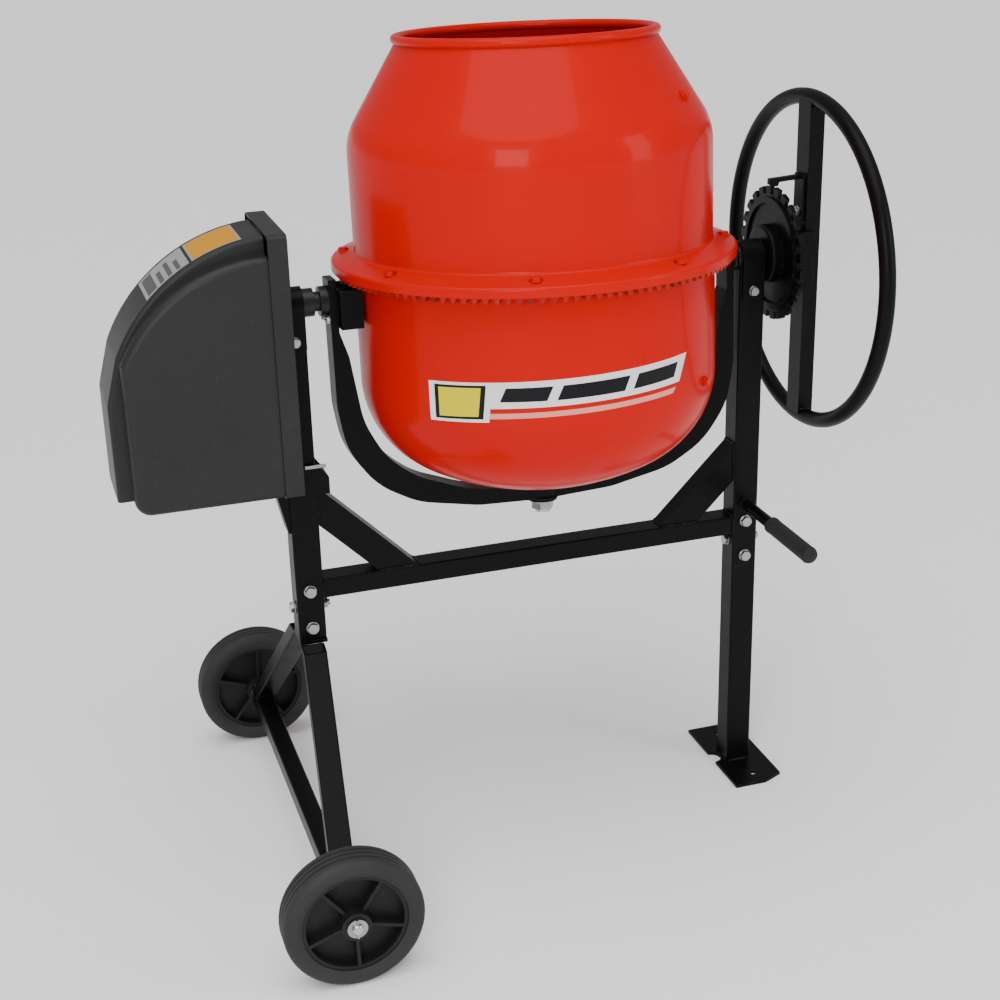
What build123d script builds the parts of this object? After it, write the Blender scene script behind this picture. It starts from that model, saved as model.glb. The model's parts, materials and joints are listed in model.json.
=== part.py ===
from build123d import *
import math
import os

# Tilting-drum concrete mixer of about 140 litres. Millimetres, +Z up, ground at Z = 0.
# +X runs from the motor side to the handwheel side and the operator stands on the -Y side.
# The origin is the middle of the object's box on the ground. The drum axis crosses the
# trunnion line at X = DRUM_X, and every *_X dimension is counted from there.

os.makedirs("parts", exist_ok=True)

# ---- frame of reference ----------------------------------------------------------------------
DRUM_X = 93.25
TRUNNION_Z = 904.0
LEAN = 3.4  # degrees that the drum and yoke lean back from upright at rest

# ---- drum ------------------------------------------------------------------------------------
SHEET = 3.0
BOWL_R = 272.0
BOWL_WALL_LOW_H = -136.0
KNUCKLE_R = 150.0
KNUCKLE_SWEEP = 62.0
BOWL_FLAT_R = 50.0
SEAM_H = 43.0
BOWL_FLANGE_R = 300.0
BELT_R = 305.0
BELT_LOW_H = 34.0
BELT_TOP_H = 48.0
BELT_SLOPE_H = 60.0
CONE_R = 270.0
SHOULDER_H = 227.0
SHOULDER_R = 90.0
BEND_R = 5.0
MOUTH_R = 189.0
MOUTH_H = 358.0
LIP_R = 7.0
BLADE_AZIMUTHS = (-44.0, 136.0)
TAB_T = 4.0
TAB_W = 30.0
TAB_GAP = SHEET + 1.5
LOW_TAB_R = BOWL_R - SHEET - 2.5
LOW_BOLT_H = -140.0
HIGH_BOLT_H = 272.0
CONE_SLOPE = (CONE_R - MOUTH_R) / (MOUTH_H - SHOULDER_H)
CONE_PITCH = math.degrees(math.atan(CONE_SLOPE))
HIGH_BOLT_R = CONE_R - (HIGH_BOLT_H - SHOULDER_H) * CONE_SLOPE
BELT_BOLT_R = 287.0
BELT_BOLT_COUNT = 8
BELT_SPOT_H = 53.0

# ---- crown gear and pinion -------------------------------------------------------------------
GEAR_TEETH = 120
PINION_TEETH = 12
GEAR_PITCH_R = 288.0
PINION_PITCH_R = GEAR_PITCH_R * PINION_TEETH / GEAR_TEETH
GEAR_INNER_R = 277.0
GEAR_OUTER_R = 299.0
GEAR_BACK_H = SEAM_H - SHEET
PRESSURE_ANGLE = math.radians(20.0)
TOOTH_PITCH = 2 * math.pi * GEAR_PITCH_R / GEAR_TEETH
GEAR_ADDENDUM = 3.2
GEAR_DEDENDUM = 5.6
PINION_ADDENDUM = 4.4
PINION_ROOT_R = PINION_PITCH_R - 4.2
BACKLASH = 0.35
PINION_FACE = (-297.0, -279.0)

# ---- frame -----------------------------------------------------------------------------------
POST = 43.0
POST_WALL = 3.0
PLUG = POST - 2 * POST_WALL - 0.6
LEFT_POST_X = -381.0
RIGHT_POST_X = 355.0
POST_TOP_Z = 900.0
LEFT_POST_LOW_Z = 371.0
RIGHT_POST_LOW_Z = 380.0
BEAM_Z = 453.0
BEAM_W = 40.0
BEAM_H = 32.0
BEAM_WALL = 2.5
BRACE_W = 45.0
BRACE_D = 34.0
BRACE_LOW_X = (-206.0, 206.0)
FOOT_LOW_X = 315.0
FOOT_HIGH_X = 405.0
FOOT_LENGTH = 204.0
FOOT_THICK = 5.0
FOOT_HOLE_R = 5.5
FOOT_HOLE_SPACING = 144.0
FOOT_NOTCH_R = 16.0

# ---- axle and wheels -------------------------------------------------------------------------
AXLE_X = -419.0
WHEEL_R = 103.6
AXLE_Z = WHEEL_R
AXLE_R = 8.0
RUNNING = 0.05
WHEEL_Y = 375.5
WHEEL_WIDTH = 55.0
RIM_R = 78.0
HUB_R = 22.0
HUB_LENGTH = 62.0
AXLE_HALF = 416.0
AXLE_BEAM = 30.0
AXLE_BEAM_HALF = 332.0
LEG_W = 36.0
LEG_D = 24.0

# ---- trunnions, bearings, yoke ---------------------------------------------------------------
TRUNNION_R = 14.5
BEARING_R = 21.0
STRAP = 4.0
YOKE_W = 40.0
ARM_TOP_X = 322.0
ARM_TOP_THICK = 12.0
SHAFT_R = 8.0
BUSH_R = 10.6
SPINDLE_R = 12.0
SPINDLE_BUSH_R = 16.0
BOSS_R = 24.0
BOSS_LOW_H = -352.0
BOSS_HEIGHT = 29.0

# ---- lock dial and handwheel -----------------------------------------------------------------
DIAL_X = 394.0
DIAL_THICK = 7.0
DIAL_R = 105.0
DIAL_BOSS_R = 46.0
NOTCH_COUNT = 24
NOTCH_W = 11.0
NOTCH_DEPTH = 12.0
WHEEL_RING_X = 457.0
WHEEL_RING_Z = 886.0
WHEEL_RING_R = 256.5
WHEEL_TUBE_R = 12.5
BAR_W = 40.0
BAR_DEPTH = 25.0
BAR_WALL = 3.0
GUIDE_X = (430.0, 443.5)
LOCK_TRAVEL = 9.0
TOOTH_GAP = 1.2

# ---- drive cover -----------------------------------------------------------------------------
COVER_BACK_X = -390.0
COVER_SEAM_X = -418.0
COVER_HALF = 89.0
COVER_LOW_Z = 636.0
COVER_TOP_Z = 1027.0
HOOD_HALF = 86.0
BAND_HALF = 60.0
COVER_WALL = 3.0
PULLEY_R = 68.0
MOTOR_PULLEY_R = 8.5
PULLEY_X = (-445.0, -429.0)
MOTOR_Z = 745.0
POST_FACE_X = LEFT_POST_X - POST / 2
WEB_FACE_X = POST_FACE_X - 0.5
MOUNT_POST_Y = 54.0
MOUNT_POST_Z = 48.0
MOTOR_R = 55.0
BELT_GAP = 0.3
BELT_THICK = 3.0

# ---- fasteners -------------------------------------------------------------------------------
M10 = 5.0
M8 = 4.0
HOLE_PLAY = 0.25


# ---- planes ----------------------------------------------------------------------------------
def level(z):
    """Horizontal plane at height z: x = X from the drum axis, y = Y."""
    return Plane(origin=(DRUM_X, 0, z), x_dir=(1, 0, 0), z_dir=(0, 0, 1))


def upright(y):
    """Plane facing the operator at Y = y: x = X from the drum axis, y = Z."""
    return Plane(origin=(DRUM_X, y, 0), x_dir=(1, 0, 0), z_dir=(0, -1, 0))


def across(x):
    """Plane square to the trunnion line, facing +X: x = Y, y = Z."""
    return Plane(origin=(DRUM_X + x, 0, 0), x_dir=(0, 1, 0), z_dir=(1, 0, 0))


# The drum and yoke share a leaning frame whose origin is the middle of the trunnion line.
TILTED = Location((DRUM_X, 0, TRUNNION_Z), (-LEAN, 0, 0))


def drum_level(h):
    """Plane square to the drum axis at height h along it."""
    return Plane(TILTED * Location((0, 0, h)))


def drum_radial(azimuth):
    """Plane through the drum axis: x = radius at that azimuth, y = height along the axis."""
    return Plane(TILTED * Location((0, 0, 0), (0, 0, azimuth)) * Location((0, 0, 0), (90, 0, 0)))


def drum_across(x):
    """Plane square to the trunnion line in the leaning frame, facing +X."""
    turned = TILTED * Location((x, 0, 0)) * Location((0, 0, 0), (0, 90, 0))
    return Plane(turned * Location((0, 0, 0), (0, 0, 90)))


def drum_wall(azimuth, r, h, pitch):
    """Plane on the drum's wall whose normal points outward, pitched up by pitch degrees."""
    turned = TILTED * Location((0, 0, 0), (0, 0, azimuth)) * Location((r, 0, h))
    return Plane(turned * Location((0, 0, 0), (0, 90 - pitch, 0)))


# ---- pieces used by several sub-parts --------------------------------------------------------
def disc(plane, radius, thickness, mode=Mode.ADD):
    """Round disc, pin or hole standing on a plane; a negative thickness goes into it."""
    with BuildSketch(plane) as outline:
        Circle(radius)
    extrude(outline.sketch, amount=thickness, mode=mode)


def hex_bolt(plane, shank_r, reach, nut=True):
    """Hex bolt with washer, head on the plane, shank running reach into it, nut at the far side."""
    washer = 1.6
    head = shank_r * 1.3
    disc(plane, shank_r * 2.0, washer)
    with BuildSketch(plane.offset(washer)) as hexagon:
        RegularPolygon(radius=shank_r * 1.85, side_count=6)
    extrude(hexagon.sketch, amount=head)
    disc(plane, shank_r, -reach)
    if nut:
        disc(plane.offset(-reach), shank_r, -shank_r * 2.4)
        with BuildSketch(plane.offset(-reach)) as nut_outline:
            RegularPolygon(radius=shank_r * 1.85, side_count=6)
        extrude(nut_outline.sketch, amount=-shank_r * 1.6)


def revolve_about_drum(outline):
    """Turns an outline drawn on drum_radial(0) once round the drum axis."""
    axis = Axis(drum_level(0).origin, drum_level(0).z_dir)
    revolve(outline.sketch, axis=axis)


def round_corner(profile, r, h, radius):
    """Rounds the corner of a profile that lies at radius r and height h."""
    corner = profile.vertices().filter_by(lambda v: abs(v.X - r) < 0.1 and abs(v.Y - h) < 0.1)
    fillet(corner, radius)


def post_bolt_planes(x, y_heights, x_heights):
    """Heads of a post's through bolts: on its -Y face at y_heights, on its -X face at x_heights."""
    planes = [Plane(origin=(DRUM_X + x, -POST / 2, z), z_dir=(0, -1, 0)) for z in y_heights]
    planes += [Plane(origin=(DRUM_X + x - POST / 2, 0, z), z_dir=(-1, 0, 0)) for z in x_heights]
    return planes


LEFT_POST_BOLTS = post_bolt_planes(LEFT_POST_X, (453.0, 391.0), (421.0,))
RIGHT_POST_BOLTS = post_bolt_planes(RIGHT_POST_X, (460.0, 398.0), (422.0,))
CAP_BOLT_Z = 853.0
CAP_LOW_Z = 840.0
CAP_BOLTS = [
    Plane(origin=(DRUM_X + x, -POST / 2 - STRAP, CAP_BOLT_Z), z_dir=(0, -1, 0))
    for x in (LEFT_POST_X + 4, RIGHT_POST_X)
]


# ---- posts -----------------------------------------------------------------------------------
def post(x, low_z):
    """Upright square tube with a bearing saddle cut in its top and its bolt holes."""
    with BuildPart() as tube:
        with BuildSketch(level(low_z)):
            with Locations((x, 0)):
                RectangleRounded(POST, POST, 3)
                Rectangle(POST - 2 * POST_WALL, POST - 2 * POST_WALL, mode=Mode.SUBTRACT)
        extrude(amount=POST_TOP_Z - low_z)
        with BuildSketch(across(x)):
            with Locations((0, TRUNNION_Z)):
                Circle(BEARING_R)
        extrude(amount=POST, both=True, mode=Mode.SUBTRACT)
        for plane in LEFT_POST_BOLTS + RIGHT_POST_BOLTS:
            disc(plane, M10 + HOLE_PLAY, -POST, Mode.SUBTRACT)
        for plane in CAP_BOLTS:
            disc(plane, M8 + HOLE_PLAY, -POST - STRAP, Mode.SUBTRACT)
    return tube


left_post = post(LEFT_POST_X, LEFT_POST_LOW_Z)
left_post.part.label = "left_post"
export_step(left_post.part, "parts/left_post.step")

right_post = post(RIGHT_POST_X, RIGHT_POST_LOW_Z)
right_post.part.label = "right_post"
export_step(right_post.part, "parts/right_post.step")

# ---- support leg: same tube below the right post, its swaged top inside the post -------------
LEG_PLUG_TOP_Z = 482.0
with BuildPart() as support_leg:
    with BuildSketch(level(FOOT_THICK)):
        with Locations((RIGHT_POST_X, 0)):
            RectangleRounded(POST, POST, 3)
    extrude(amount=RIGHT_POST_LOW_Z - FOOT_THICK)
    with BuildSketch(level(RIGHT_POST_LOW_Z)):
        with Locations((RIGHT_POST_X, 0)):
            Rectangle(PLUG, PLUG)
    extrude(amount=LEG_PLUG_TOP_Z - RIGHT_POST_LOW_Z)
    with BuildSketch(level(FOOT_THICK)):
        with Locations((RIGHT_POST_X, 0)):
            Rectangle(PLUG - 2 * POST_WALL, PLUG - 2 * POST_WALL)
    extrude(amount=LEG_PLUG_TOP_Z, mode=Mode.SUBTRACT)
    for plane in RIGHT_POST_BOLTS:
        disc(plane, M10 + HOLE_PLAY, -POST, Mode.SUBTRACT)
support_leg.part.label = "support_leg"
export_step(support_leg.part, "parts/support_leg.step")

# ---- foot plate ------------------------------------------------------------------------------
with BuildPart() as foot_plate:
    foot_x = (FOOT_LOW_X + FOOT_HIGH_X) / 2
    with BuildSketch(level(0)) as foot_outline:
        with Locations((foot_x, 0)):
            Rectangle(FOOT_HIGH_X - FOOT_LOW_X, FOOT_LENGTH)
        chamfer(foot_outline.vertices().sort_by(Axis.X)[-2:], length=34, length2=16)
        with Locations((FOOT_LOW_X, 0)):
            Circle(FOOT_NOTCH_R, mode=Mode.SUBTRACT)
        with Locations((foot_x, 0)):
            with GridLocations(1, FOOT_HOLE_SPACING, 1, 2):
                Circle(FOOT_HOLE_R, mode=Mode.SUBTRACT)
    extrude(amount=FOOT_THICK)
foot_plate.part.label = "foot_plate"
export_step(foot_plate.part, "parts/foot_plate.step")

# ---- cross beam ------------------------------------------------------------------------------
with BuildPart() as beam:
    with BuildSketch(across(LEFT_POST_X + POST / 2)):
        with Locations((0, BEAM_Z)):
            RectangleRounded(BEAM_W, BEAM_H, 3)
            Rectangle(BEAM_W - 2 * BEAM_WALL, BEAM_H - 2 * BEAM_WALL, mode=Mode.SUBTRACT)
    extrude(amount=RIGHT_POST_X - LEFT_POST_X - POST)
beam.part.label = "beam"
export_step(beam.part, "parts/beam.step")


# ---- 45 degree braces ------------------------------------------------------------------------
def brace(post_face_x, low_x):
    """Box-section brace from the beam's top up to a post's face; its ends are mitred to both."""
    side = math.copysign(1, post_face_x)
    beam_top = BEAM_Z + BEAM_H / 2
    run = abs(post_face_x - low_x)
    reach = BRACE_W * math.sqrt(2)
    with BuildPart() as tube:
        with BuildSketch(upright(0)):
            with BuildLine():
                Polyline(
                    (low_x, beam_top),
                    (post_face_x, beam_top + run),
                    (post_face_x, beam_top + run - reach),
                    (low_x + side * reach, beam_top),
                    close=True,
                )
            make_face()
        extrude(amount=BRACE_D / 2, both=True)
        inset = BEAM_WALL * math.sqrt(2)
        with BuildSketch(upright(0)):
            with BuildLine():
                Polyline(
                    (low_x + side * inset - side * 60, beam_top - 60),
                    (post_face_x + side * 60, beam_top + run - inset + 60),
                    (post_face_x + side * 60, beam_top + run - reach + inset + 60),
                    (low_x + side * (reach - inset) - side * 60, beam_top - 60),
                    close=True,
                )
            make_face()
        extrude(amount=BRACE_D / 2 - BEAM_WALL, both=True, mode=Mode.SUBTRACT)
    return tube


left_brace = brace(LEFT_POST_X + POST / 2, BRACE_LOW_X[0])
left_brace.part.label = "left_brace"
export_step(left_brace.part, "parts/left_brace.step")

right_brace = brace(RIGHT_POST_X - POST / 2, BRACE_LOW_X[1])
right_brace.part.label = "right_brace"
export_step(right_brace.part, "parts/right_brace.step")

# ---- strap clamp where the left brace meets its post -----------------------------------------
CLAMP_Z = (612.0, 655.0)
CLAMP_REACH_X = -340.0
with BuildPart() as brace_clamp:
    with BuildSketch(level(CLAMP_Z[0])):
        clamp_low_x = COVER_BACK_X + 0.5
        with Locations(((clamp_low_x + CLAMP_REACH_X) / 2, 0)):
            Rectangle(CLAMP_REACH_X - clamp_low_x, POST + 6)
        with Locations((LEFT_POST_X, 0)):
            Rectangle(POST, POST, mode=Mode.SUBTRACT)
    extrude(amount=CLAMP_Z[1] - CLAMP_Z[0])
    with BuildSketch(upright(0)):
        with BuildLine():
            Polyline(
                (CLAMP_REACH_X - 12, CLAMP_Z[1]),
                (CLAMP_REACH_X, CLAMP_Z[1]),
                (CLAMP_REACH_X, CLAMP_Z[1] - 17),
                close=True,
            )
        make_face()
    extrude(amount=POST, both=True, mode=Mode.SUBTRACT)
    with BuildSketch(across(CLAMP_REACH_X - 4)):
        with Locations((0, (CLAMP_Z[0] + CLAMP_Z[1]) / 2)):
            Rectangle(POST - 6, 60)
    extrude(amount=-16, mode=Mode.SUBTRACT)
brace_clamp.part.label = "brace_clamp"
export_step(brace_clamp.part, "parts/brace_clamp.step")

# ---- leg socket: plug in the left post with the plate that carries the wheel legs ------------
SOCKET_PLATE = 6.0
with BuildPart() as leg_socket:
    with BuildSketch(level(LEFT_POST_LOW_Z)):
        with Locations((LEFT_POST_X, 0)):
            Rectangle(POST, POST + 8)
    extrude(amount=-SOCKET_PLATE)
    with BuildSketch(level(LEFT_POST_LOW_Z)):
        with Locations((LEFT_POST_X, 0)):
            Rectangle(PLUG, PLUG)
            Rectangle(PLUG - 2 * POST_WALL, PLUG - 2 * POST_WALL, mode=Mode.SUBTRACT)
    extrude(amount=105)
    for plane in LEFT_POST_BOLTS:
        disc(plane, M10 + HOLE_PLAY, -POST, Mode.SUBTRACT)
leg_socket.part.label = "leg_socket"
export_step(leg_socket.part, "parts/leg_socket.step")


# ---- wheel legs ------------------------------------------------------------------------------
def wheel_leg(side):
    """Rectangular tube from the socket plate down to one end of the axle beam."""
    top = Vector(DRUM_X + LEFT_POST_X, side * 6, 400)
    low = Vector(DRUM_X + AXLE_X + 2, side * (AXLE_BEAM_HALF - 10), AXLE_Z)
    along = (top - low).normalized()
    section = Plane(origin=low - along * 40, x_dir=(1, 0, 0), z_dir=along)
    with BuildPart() as tube:
        with BuildSketch(section) as outline:
            RectangleRounded(LEG_W, LEG_D, 3)
            Rectangle(LEG_W - 2 * BEAM_WALL, LEG_D - 2 * BEAM_WALL, mode=Mode.SUBTRACT)
        extrude(amount=(top - low).length + 80)
        split(bisect_by=Plane.XY.offset(LEFT_POST_LOW_Z - SOCKET_PLATE), keep=Keep.BOTTOM)
        split(bisect_by=Plane.XY.offset(AXLE_Z + AXLE_BEAM / 2), keep=Keep.TOP)
        split(bisect_by=Plane.XZ.offset(-side * 0.2), keep=Keep.BOTTOM if side > 0 else Keep.TOP)
    return tube


wheel_leg_near = wheel_leg(-1)
wheel_leg_near.part.label = "wheel_leg_near"
export_step(wheel_leg_near.part, "parts/wheel_leg_near.step")

wheel_leg_far = wheel_leg(1)
wheel_leg_far.part.label = "wheel_leg_far"
export_step(wheel_leg_far.part, "parts/wheel_leg_far.step")

# ---- axle beam and axle rod ------------------------------------------------------------------
with BuildPart() as axle_beam:
    with BuildSketch(upright(0)):
        with Locations((AXLE_X, AXLE_Z)):
            RectangleRounded(AXLE_BEAM, AXLE_BEAM, 3)
    extrude(amount=AXLE_BEAM_HALF, both=True)
    with BuildSketch(upright(0)):
        with Locations((AXLE_X, AXLE_Z)):
            Rectangle(AXLE_BEAM - 2 * BEAM_WALL, AXLE_BEAM - 2 * BEAM_WALL)
    extrude(amount=AXLE_BEAM_HALF - 30, both=True, mode=Mode.SUBTRACT)
    with BuildSketch(upright(0)):
        with Locations((AXLE_X, AXLE_Z)):
            Circle(AXLE_R)
    extrude(amount=AXLE_BEAM_HALF, both=True, mode=Mode.SUBTRACT)
axle_beam.part.label = "axle_beam"
export_step(axle_beam.part, "parts/axle_beam.step")

with BuildPart() as axle_rod:
    with BuildSketch(upright(0)):
        with Locations((AXLE_X, AXLE_Z)):
            Circle(AXLE_R)
    extrude(amount=AXLE_HALF, both=True)
    chamfer(axle_rod.edges().filter_by(GeomType.CIRCLE), 1.5)
    with BuildSketch(level(AXLE_Z - 20)):
        with Locations((AXLE_X, -AXLE_HALF + 4.5), (AXLE_X, AXLE_HALF - 4.5)):
            Circle(2)
    extrude(amount=40, mode=Mode.SUBTRACT)
axle_rod.part.label = "axle_rod"
export_step(axle_rod.part, "parts/axle_rod.step")

with BuildPart() as wheel_retainers:
    for side in (-1, 1):
        for y in (side * 340.0, side * 408.0):
            collar = Plane(origin=(DRUM_X + AXLE_X, y, AXLE_Z), z_dir=(0, side, 0))
            disc(collar, 15, 2.5)
            disc(collar, AXLE_R, 2.5, Mode.SUBTRACT)
        pin = Plane(origin=(DRUM_X + AXLE_X, side * (AXLE_HALF - 4.5), AXLE_Z - 15), z_dir=(0, 0, 1))
        disc(pin, 1.8, 30)
wheel_retainers.part.label = "wheel_retainers"
export_step(wheel_retainers.part, "parts/wheel_retainers.step")


# ---- wheels ----------------------------------------------------------------------------------
def wheel_plane(side):
    """Plane across a wheel at its middle, facing outward."""
    return Plane(origin=(DRUM_X + AXLE_X, side * WHEEL_Y, AXLE_Z), x_dir=(1, 0, 0), z_dir=(0, side, 0))


def wheel_rim(side):
    """Moulded wheel centre: hub, web with ribs and the seat of the tyre."""
    middle = wheel_plane(side)
    with BuildPart() as rim:
        disc(middle.offset(-HUB_LENGTH / 2), HUB_R, HUB_LENGTH)
        disc(middle.offset(-4), RIM_R - 2, 8)
        with BuildSketch(middle.offset(-WHEEL_WIDTH / 2 + 6)) as seat:
            Circle(RIM_R)
            Circle(RIM_R - 6, mode=Mode.SUBTRACT)
        extrude(seat.sketch, amount=WHEEL_WIDTH - 12)
        with BuildSketch(middle.offset(-HUB_LENGTH / 2 + 10)) as ribs:
            with PolarLocations((HUB_R + RIM_R) / 2 - 1, 5, start_angle=200):
                Rectangle(RIM_R - HUB_R, 5)
        extrude(ribs.sketch, amount=HUB_LENGTH - 20)
        disc(middle.offset(-HUB_LENGTH / 2), AXLE_R + RUNNING, HUB_LENGTH, Mode.SUBTRACT)
    return rim


def wheel_tyre(side):
    """Solid rubber tyre with rounded shoulders and three grooves round the tread."""
    middle = wheel_plane(side)
    half = WHEEL_WIDTH / 2
    section = Plane(origin=middle.origin, x_dir=(1, 0, 0), z_dir=(0, 0, 1))
    with BuildPart() as tyre:
        with BuildSketch(section) as profile:
            with BuildLine():
                Polyline((RIM_R, -half + 4), (RIM_R + 8, -half), (WHEEL_R - 12, -half))
                ThreePointArc((WHEEL_R - 12, -half), (WHEEL_R - 2.6, -half + 5), (WHEEL_R, -half + 14))
                Line((WHEEL_R, -half + 14), (WHEEL_R, half - 14))
                ThreePointArc((WHEEL_R, half - 14), (WHEEL_R - 2.6, half - 5), (WHEEL_R - 12, half))
                Polyline((WHEEL_R - 12, half), (RIM_R + 8, half), (RIM_R, half - 4), (RIM_R, -half + 4))
            make_face()
            with Locations((WHEEL_R, -10), (WHEEL_R, 0), (WHEEL_R, 10)):
                Rectangle(4, 2.4, mode=Mode.SUBTRACT)
        revolve(profile.sketch, axis=Axis(middle.origin, (0, 1, 0)))
    return tyre


near_rim = wheel_rim(-1)
near_rim.part.label = "near_rim"
export_step(near_rim.part, "parts/near_rim.step")

far_rim = wheel_rim(1)
far_rim.part.label = "far_rim"
export_step(far_rim.part, "parts/far_rim.step")

near_tyre = wheel_tyre(-1)
near_tyre.part.label = "near_tyre"
export_step(near_tyre.part, "parts/near_tyre.step")

far_tyre = wheel_tyre(1)
far_tyre.part.label = "far_tyre"
export_step(far_tyre.part, "parts/far_tyre.step")

# ---- transport handle and grip ---------------------------------------------------------------
HANDLE_X = 358.0
HANDLE_Z = 487.0
HANDLE_R = 9.5
GRIP_R = 14.0
GRIP_Y = (-112.0, -246.0)
HANDLE_END_Y = -240.0
with BuildPart() as transport_handle:
    with BuildSketch(upright(-POST / 2)):
        with Locations((HANDLE_X, HANDLE_Z)):
            Circle(HANDLE_R)
    extrude(amount=-HANDLE_END_Y - POST / 2)
    with BuildSketch(upright(-POST / 2)):
        with Locations((HANDLE_X, HANDLE_Z)):
            Circle(HANDLE_R + 4)
    extrude(amount=4)
transport_handle.part.label = "transport_handle"
export_step(transport_handle.part, "parts/transport_handle.step")

with BuildPart() as handle_grip:
    with BuildSketch(upright(GRIP_Y[0])):
        with Locations((HANDLE_X, HANDLE_Z)):
            Circle(GRIP_R)
    extrude(amount=GRIP_Y[0] - GRIP_Y[1])
    fillet(handle_grip.edges().filter_by(GeomType.CIRCLE), 2.5)
    with BuildSketch(upright(GRIP_Y[0])):
        with Locations((HANDLE_X, HANDLE_Z)):
            Circle(HANDLE_R)
    extrude(amount=GRIP_Y[0] - HANDLE_END_Y, mode=Mode.SUBTRACT)
handle_grip.part.label = "handle_grip"
export_step(handle_grip.part, "parts/handle_grip.step")


# ---- trunnion bearings: a bush in each post's saddle, held by a strap cap --------------------
def bearing(x_low, x_high):
    """Bearing bush round the trunnion."""
    with BuildPart() as bush:
        with BuildSketch(across(x_low)):
            with Locations((0, TRUNNION_Z)):
                Circle(BEARING_R)
                Circle(TRUNNION_R + RUNNING, mode=Mode.SUBTRACT)
        extrude(amount=x_high - x_low)
    return bush


def bearing_cap(x, width, bolt_plane):
    """Strap over the bush, its legs bolted to the post's two side faces."""
    with BuildPart() as cap:
        with BuildSketch(across(x - width / 2)):
            with Locations((0, TRUNNION_Z)):
                Circle(BEARING_R + STRAP + 0.5)
            with Locations((0, (TRUNNION_Z + CAP_LOW_Z) / 2)):
                Rectangle(POST + 2 * STRAP, TRUNNION_Z - CAP_LOW_Z)
            with Locations((0, (TRUNNION_Z + CAP_LOW_Z) / 2 - 1)):
                Rectangle(POST, TRUNNION_Z - CAP_LOW_Z + 2, mode=Mode.SUBTRACT)
            with Locations((0, TRUNNION_Z)):
                Circle(BEARING_R, mode=Mode.SUBTRACT)
        extrude(amount=width)
        disc(bolt_plane.offset(2), M8 + HOLE_PLAY, -POST - 3 * STRAP, Mode.SUBTRACT)
    return cap


left_bearing = bearing(-402.0, -343.0)
left_bearing.part.label = "left_bearing"
export_step(left_bearing.part, "parts/left_bearing.step")

left_bearing_cap = bearing_cap(LEFT_POST_X + 4, 34, CAP_BOLTS[0])
left_bearing_cap.part.label = "left_bearing_cap"
export_step(left_bearing_cap.part, "parts/left_bearing_cap.step")

right_bearing = bearing(331.0, 376.0)
right_bearing.part.label = "right_bearing"
export_step(right_bearing.part, "parts/right_bearing.step")

right_bearing_cap = bearing_cap(RIGHT_POST_X, 36, CAP_BOLTS[1])
right_bearing_cap.part.label = "right_bearing_cap"
export_step(right_bearing_cap.part, "parts/right_bearing_cap.step")

# ---- lock dial: notched disc welded to the right post, its hub round the trunnion ------------
DIAL_HUB_LOW_X = RIGHT_POST_X + POST / 2
with BuildPart() as lock_dial:
    with BuildSketch(across(DIAL_X)) as dial_outline:
        with Locations((0, TRUNNION_Z)):
            Circle(DIAL_R)
            with PolarLocations(DIAL_R, NOTCH_COUNT, start_angle=90):
                Rectangle(2 * NOTCH_DEPTH, NOTCH_W, mode=Mode.SUBTRACT)
    extrude(amount=DIAL_THICK)
    with BuildSketch(across(DIAL_X)):
        with Locations((0, TRUNNION_Z)):
            Circle(88)
            Circle(79, mode=Mode.SUBTRACT)
    extrude(amount=-4)
    with BuildSketch(across(DIAL_X)):
        with Locations((0, TRUNNION_Z)):
            Circle(DIAL_BOSS_R)
    extrude(amount=DIAL_HUB_LOW_X - DIAL_X)
    fillet(lock_dial.faces().sort_by(Axis.X)[0].edges().filter_by(GeomType.CIRCLE), 5)
    with BuildSketch(across(DIAL_HUB_LOW_X - 1)):
        with Locations((0, TRUNNION_Z)):
            Circle(TRUNNION_R + 0.8)
    extrude(amount=DIAL_X + DIAL_THICK - DIAL_HUB_LOW_X + 2, mode=Mode.SUBTRACT)
lock_dial.part.label = "lock_dial"
export_step(lock_dial.part, "parts/lock_dial.step")

# ---- drive cover, rear shell -----------------------------------------------------------------
MOUNT_SCREW_R = 2.5
MOUNT_SCREWS = [
    Plane(origin=(DRUM_X + WEB_FACE_X, y, MOTOR_Z + z), z_dir=(1, 0, 0))
    for y in (-MOUNT_POST_Y, MOUNT_POST_Y)
    for z in (-MOUNT_POST_Z, MOUNT_POST_Z)
]
COVER_MID_Z = (COVER_LOW_Z + COVER_TOP_Z) / 2
COVER_HEIGHT = COVER_TOP_Z - COVER_LOW_Z
with BuildPart() as cover_back:
    with BuildSketch(across(COVER_BACK_X)):
        with Locations((0, COVER_MID_Z)):
            RectangleRounded(2 * COVER_HALF, COVER_HEIGHT, 9)
    extrude(amount=COVER_SEAM_X - COVER_BACK_X)
    for x, depth in ((WEB_FACE_X, 40.0), (WEB_FACE_X - COVER_WALL, -40.0)):
        with BuildSketch(across(x)):
            with Locations((0, COVER_MID_Z)):
                RectangleRounded(2 * (COVER_HALF - COVER_WALL), COVER_HEIGHT - 2 * COVER_WALL, 6)
        extrude(amount=depth, mode=Mode.SUBTRACT)
    with BuildSketch(across(WEB_FACE_X)):
        with Locations((0, COVER_LOW_Z)):
            Rectangle(POST + 1, 20)
    extrude(amount=30, mode=Mode.SUBTRACT)
    with BuildSketch(across(COVER_SEAM_X)):
        with Locations((0, TRUNNION_Z)):
            Circle(BEARING_R + 1)
    extrude(amount=40, mode=Mode.SUBTRACT)
    for plane in MOUNT_SCREWS:
        disc(plane, MOUNT_SCREW_R + HOLE_PLAY, -COVER_WALL, Mode.SUBTRACT)
cover_back.part.label = "cover_back"
export_step(cover_back.part, "parts/cover_back.step")


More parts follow.
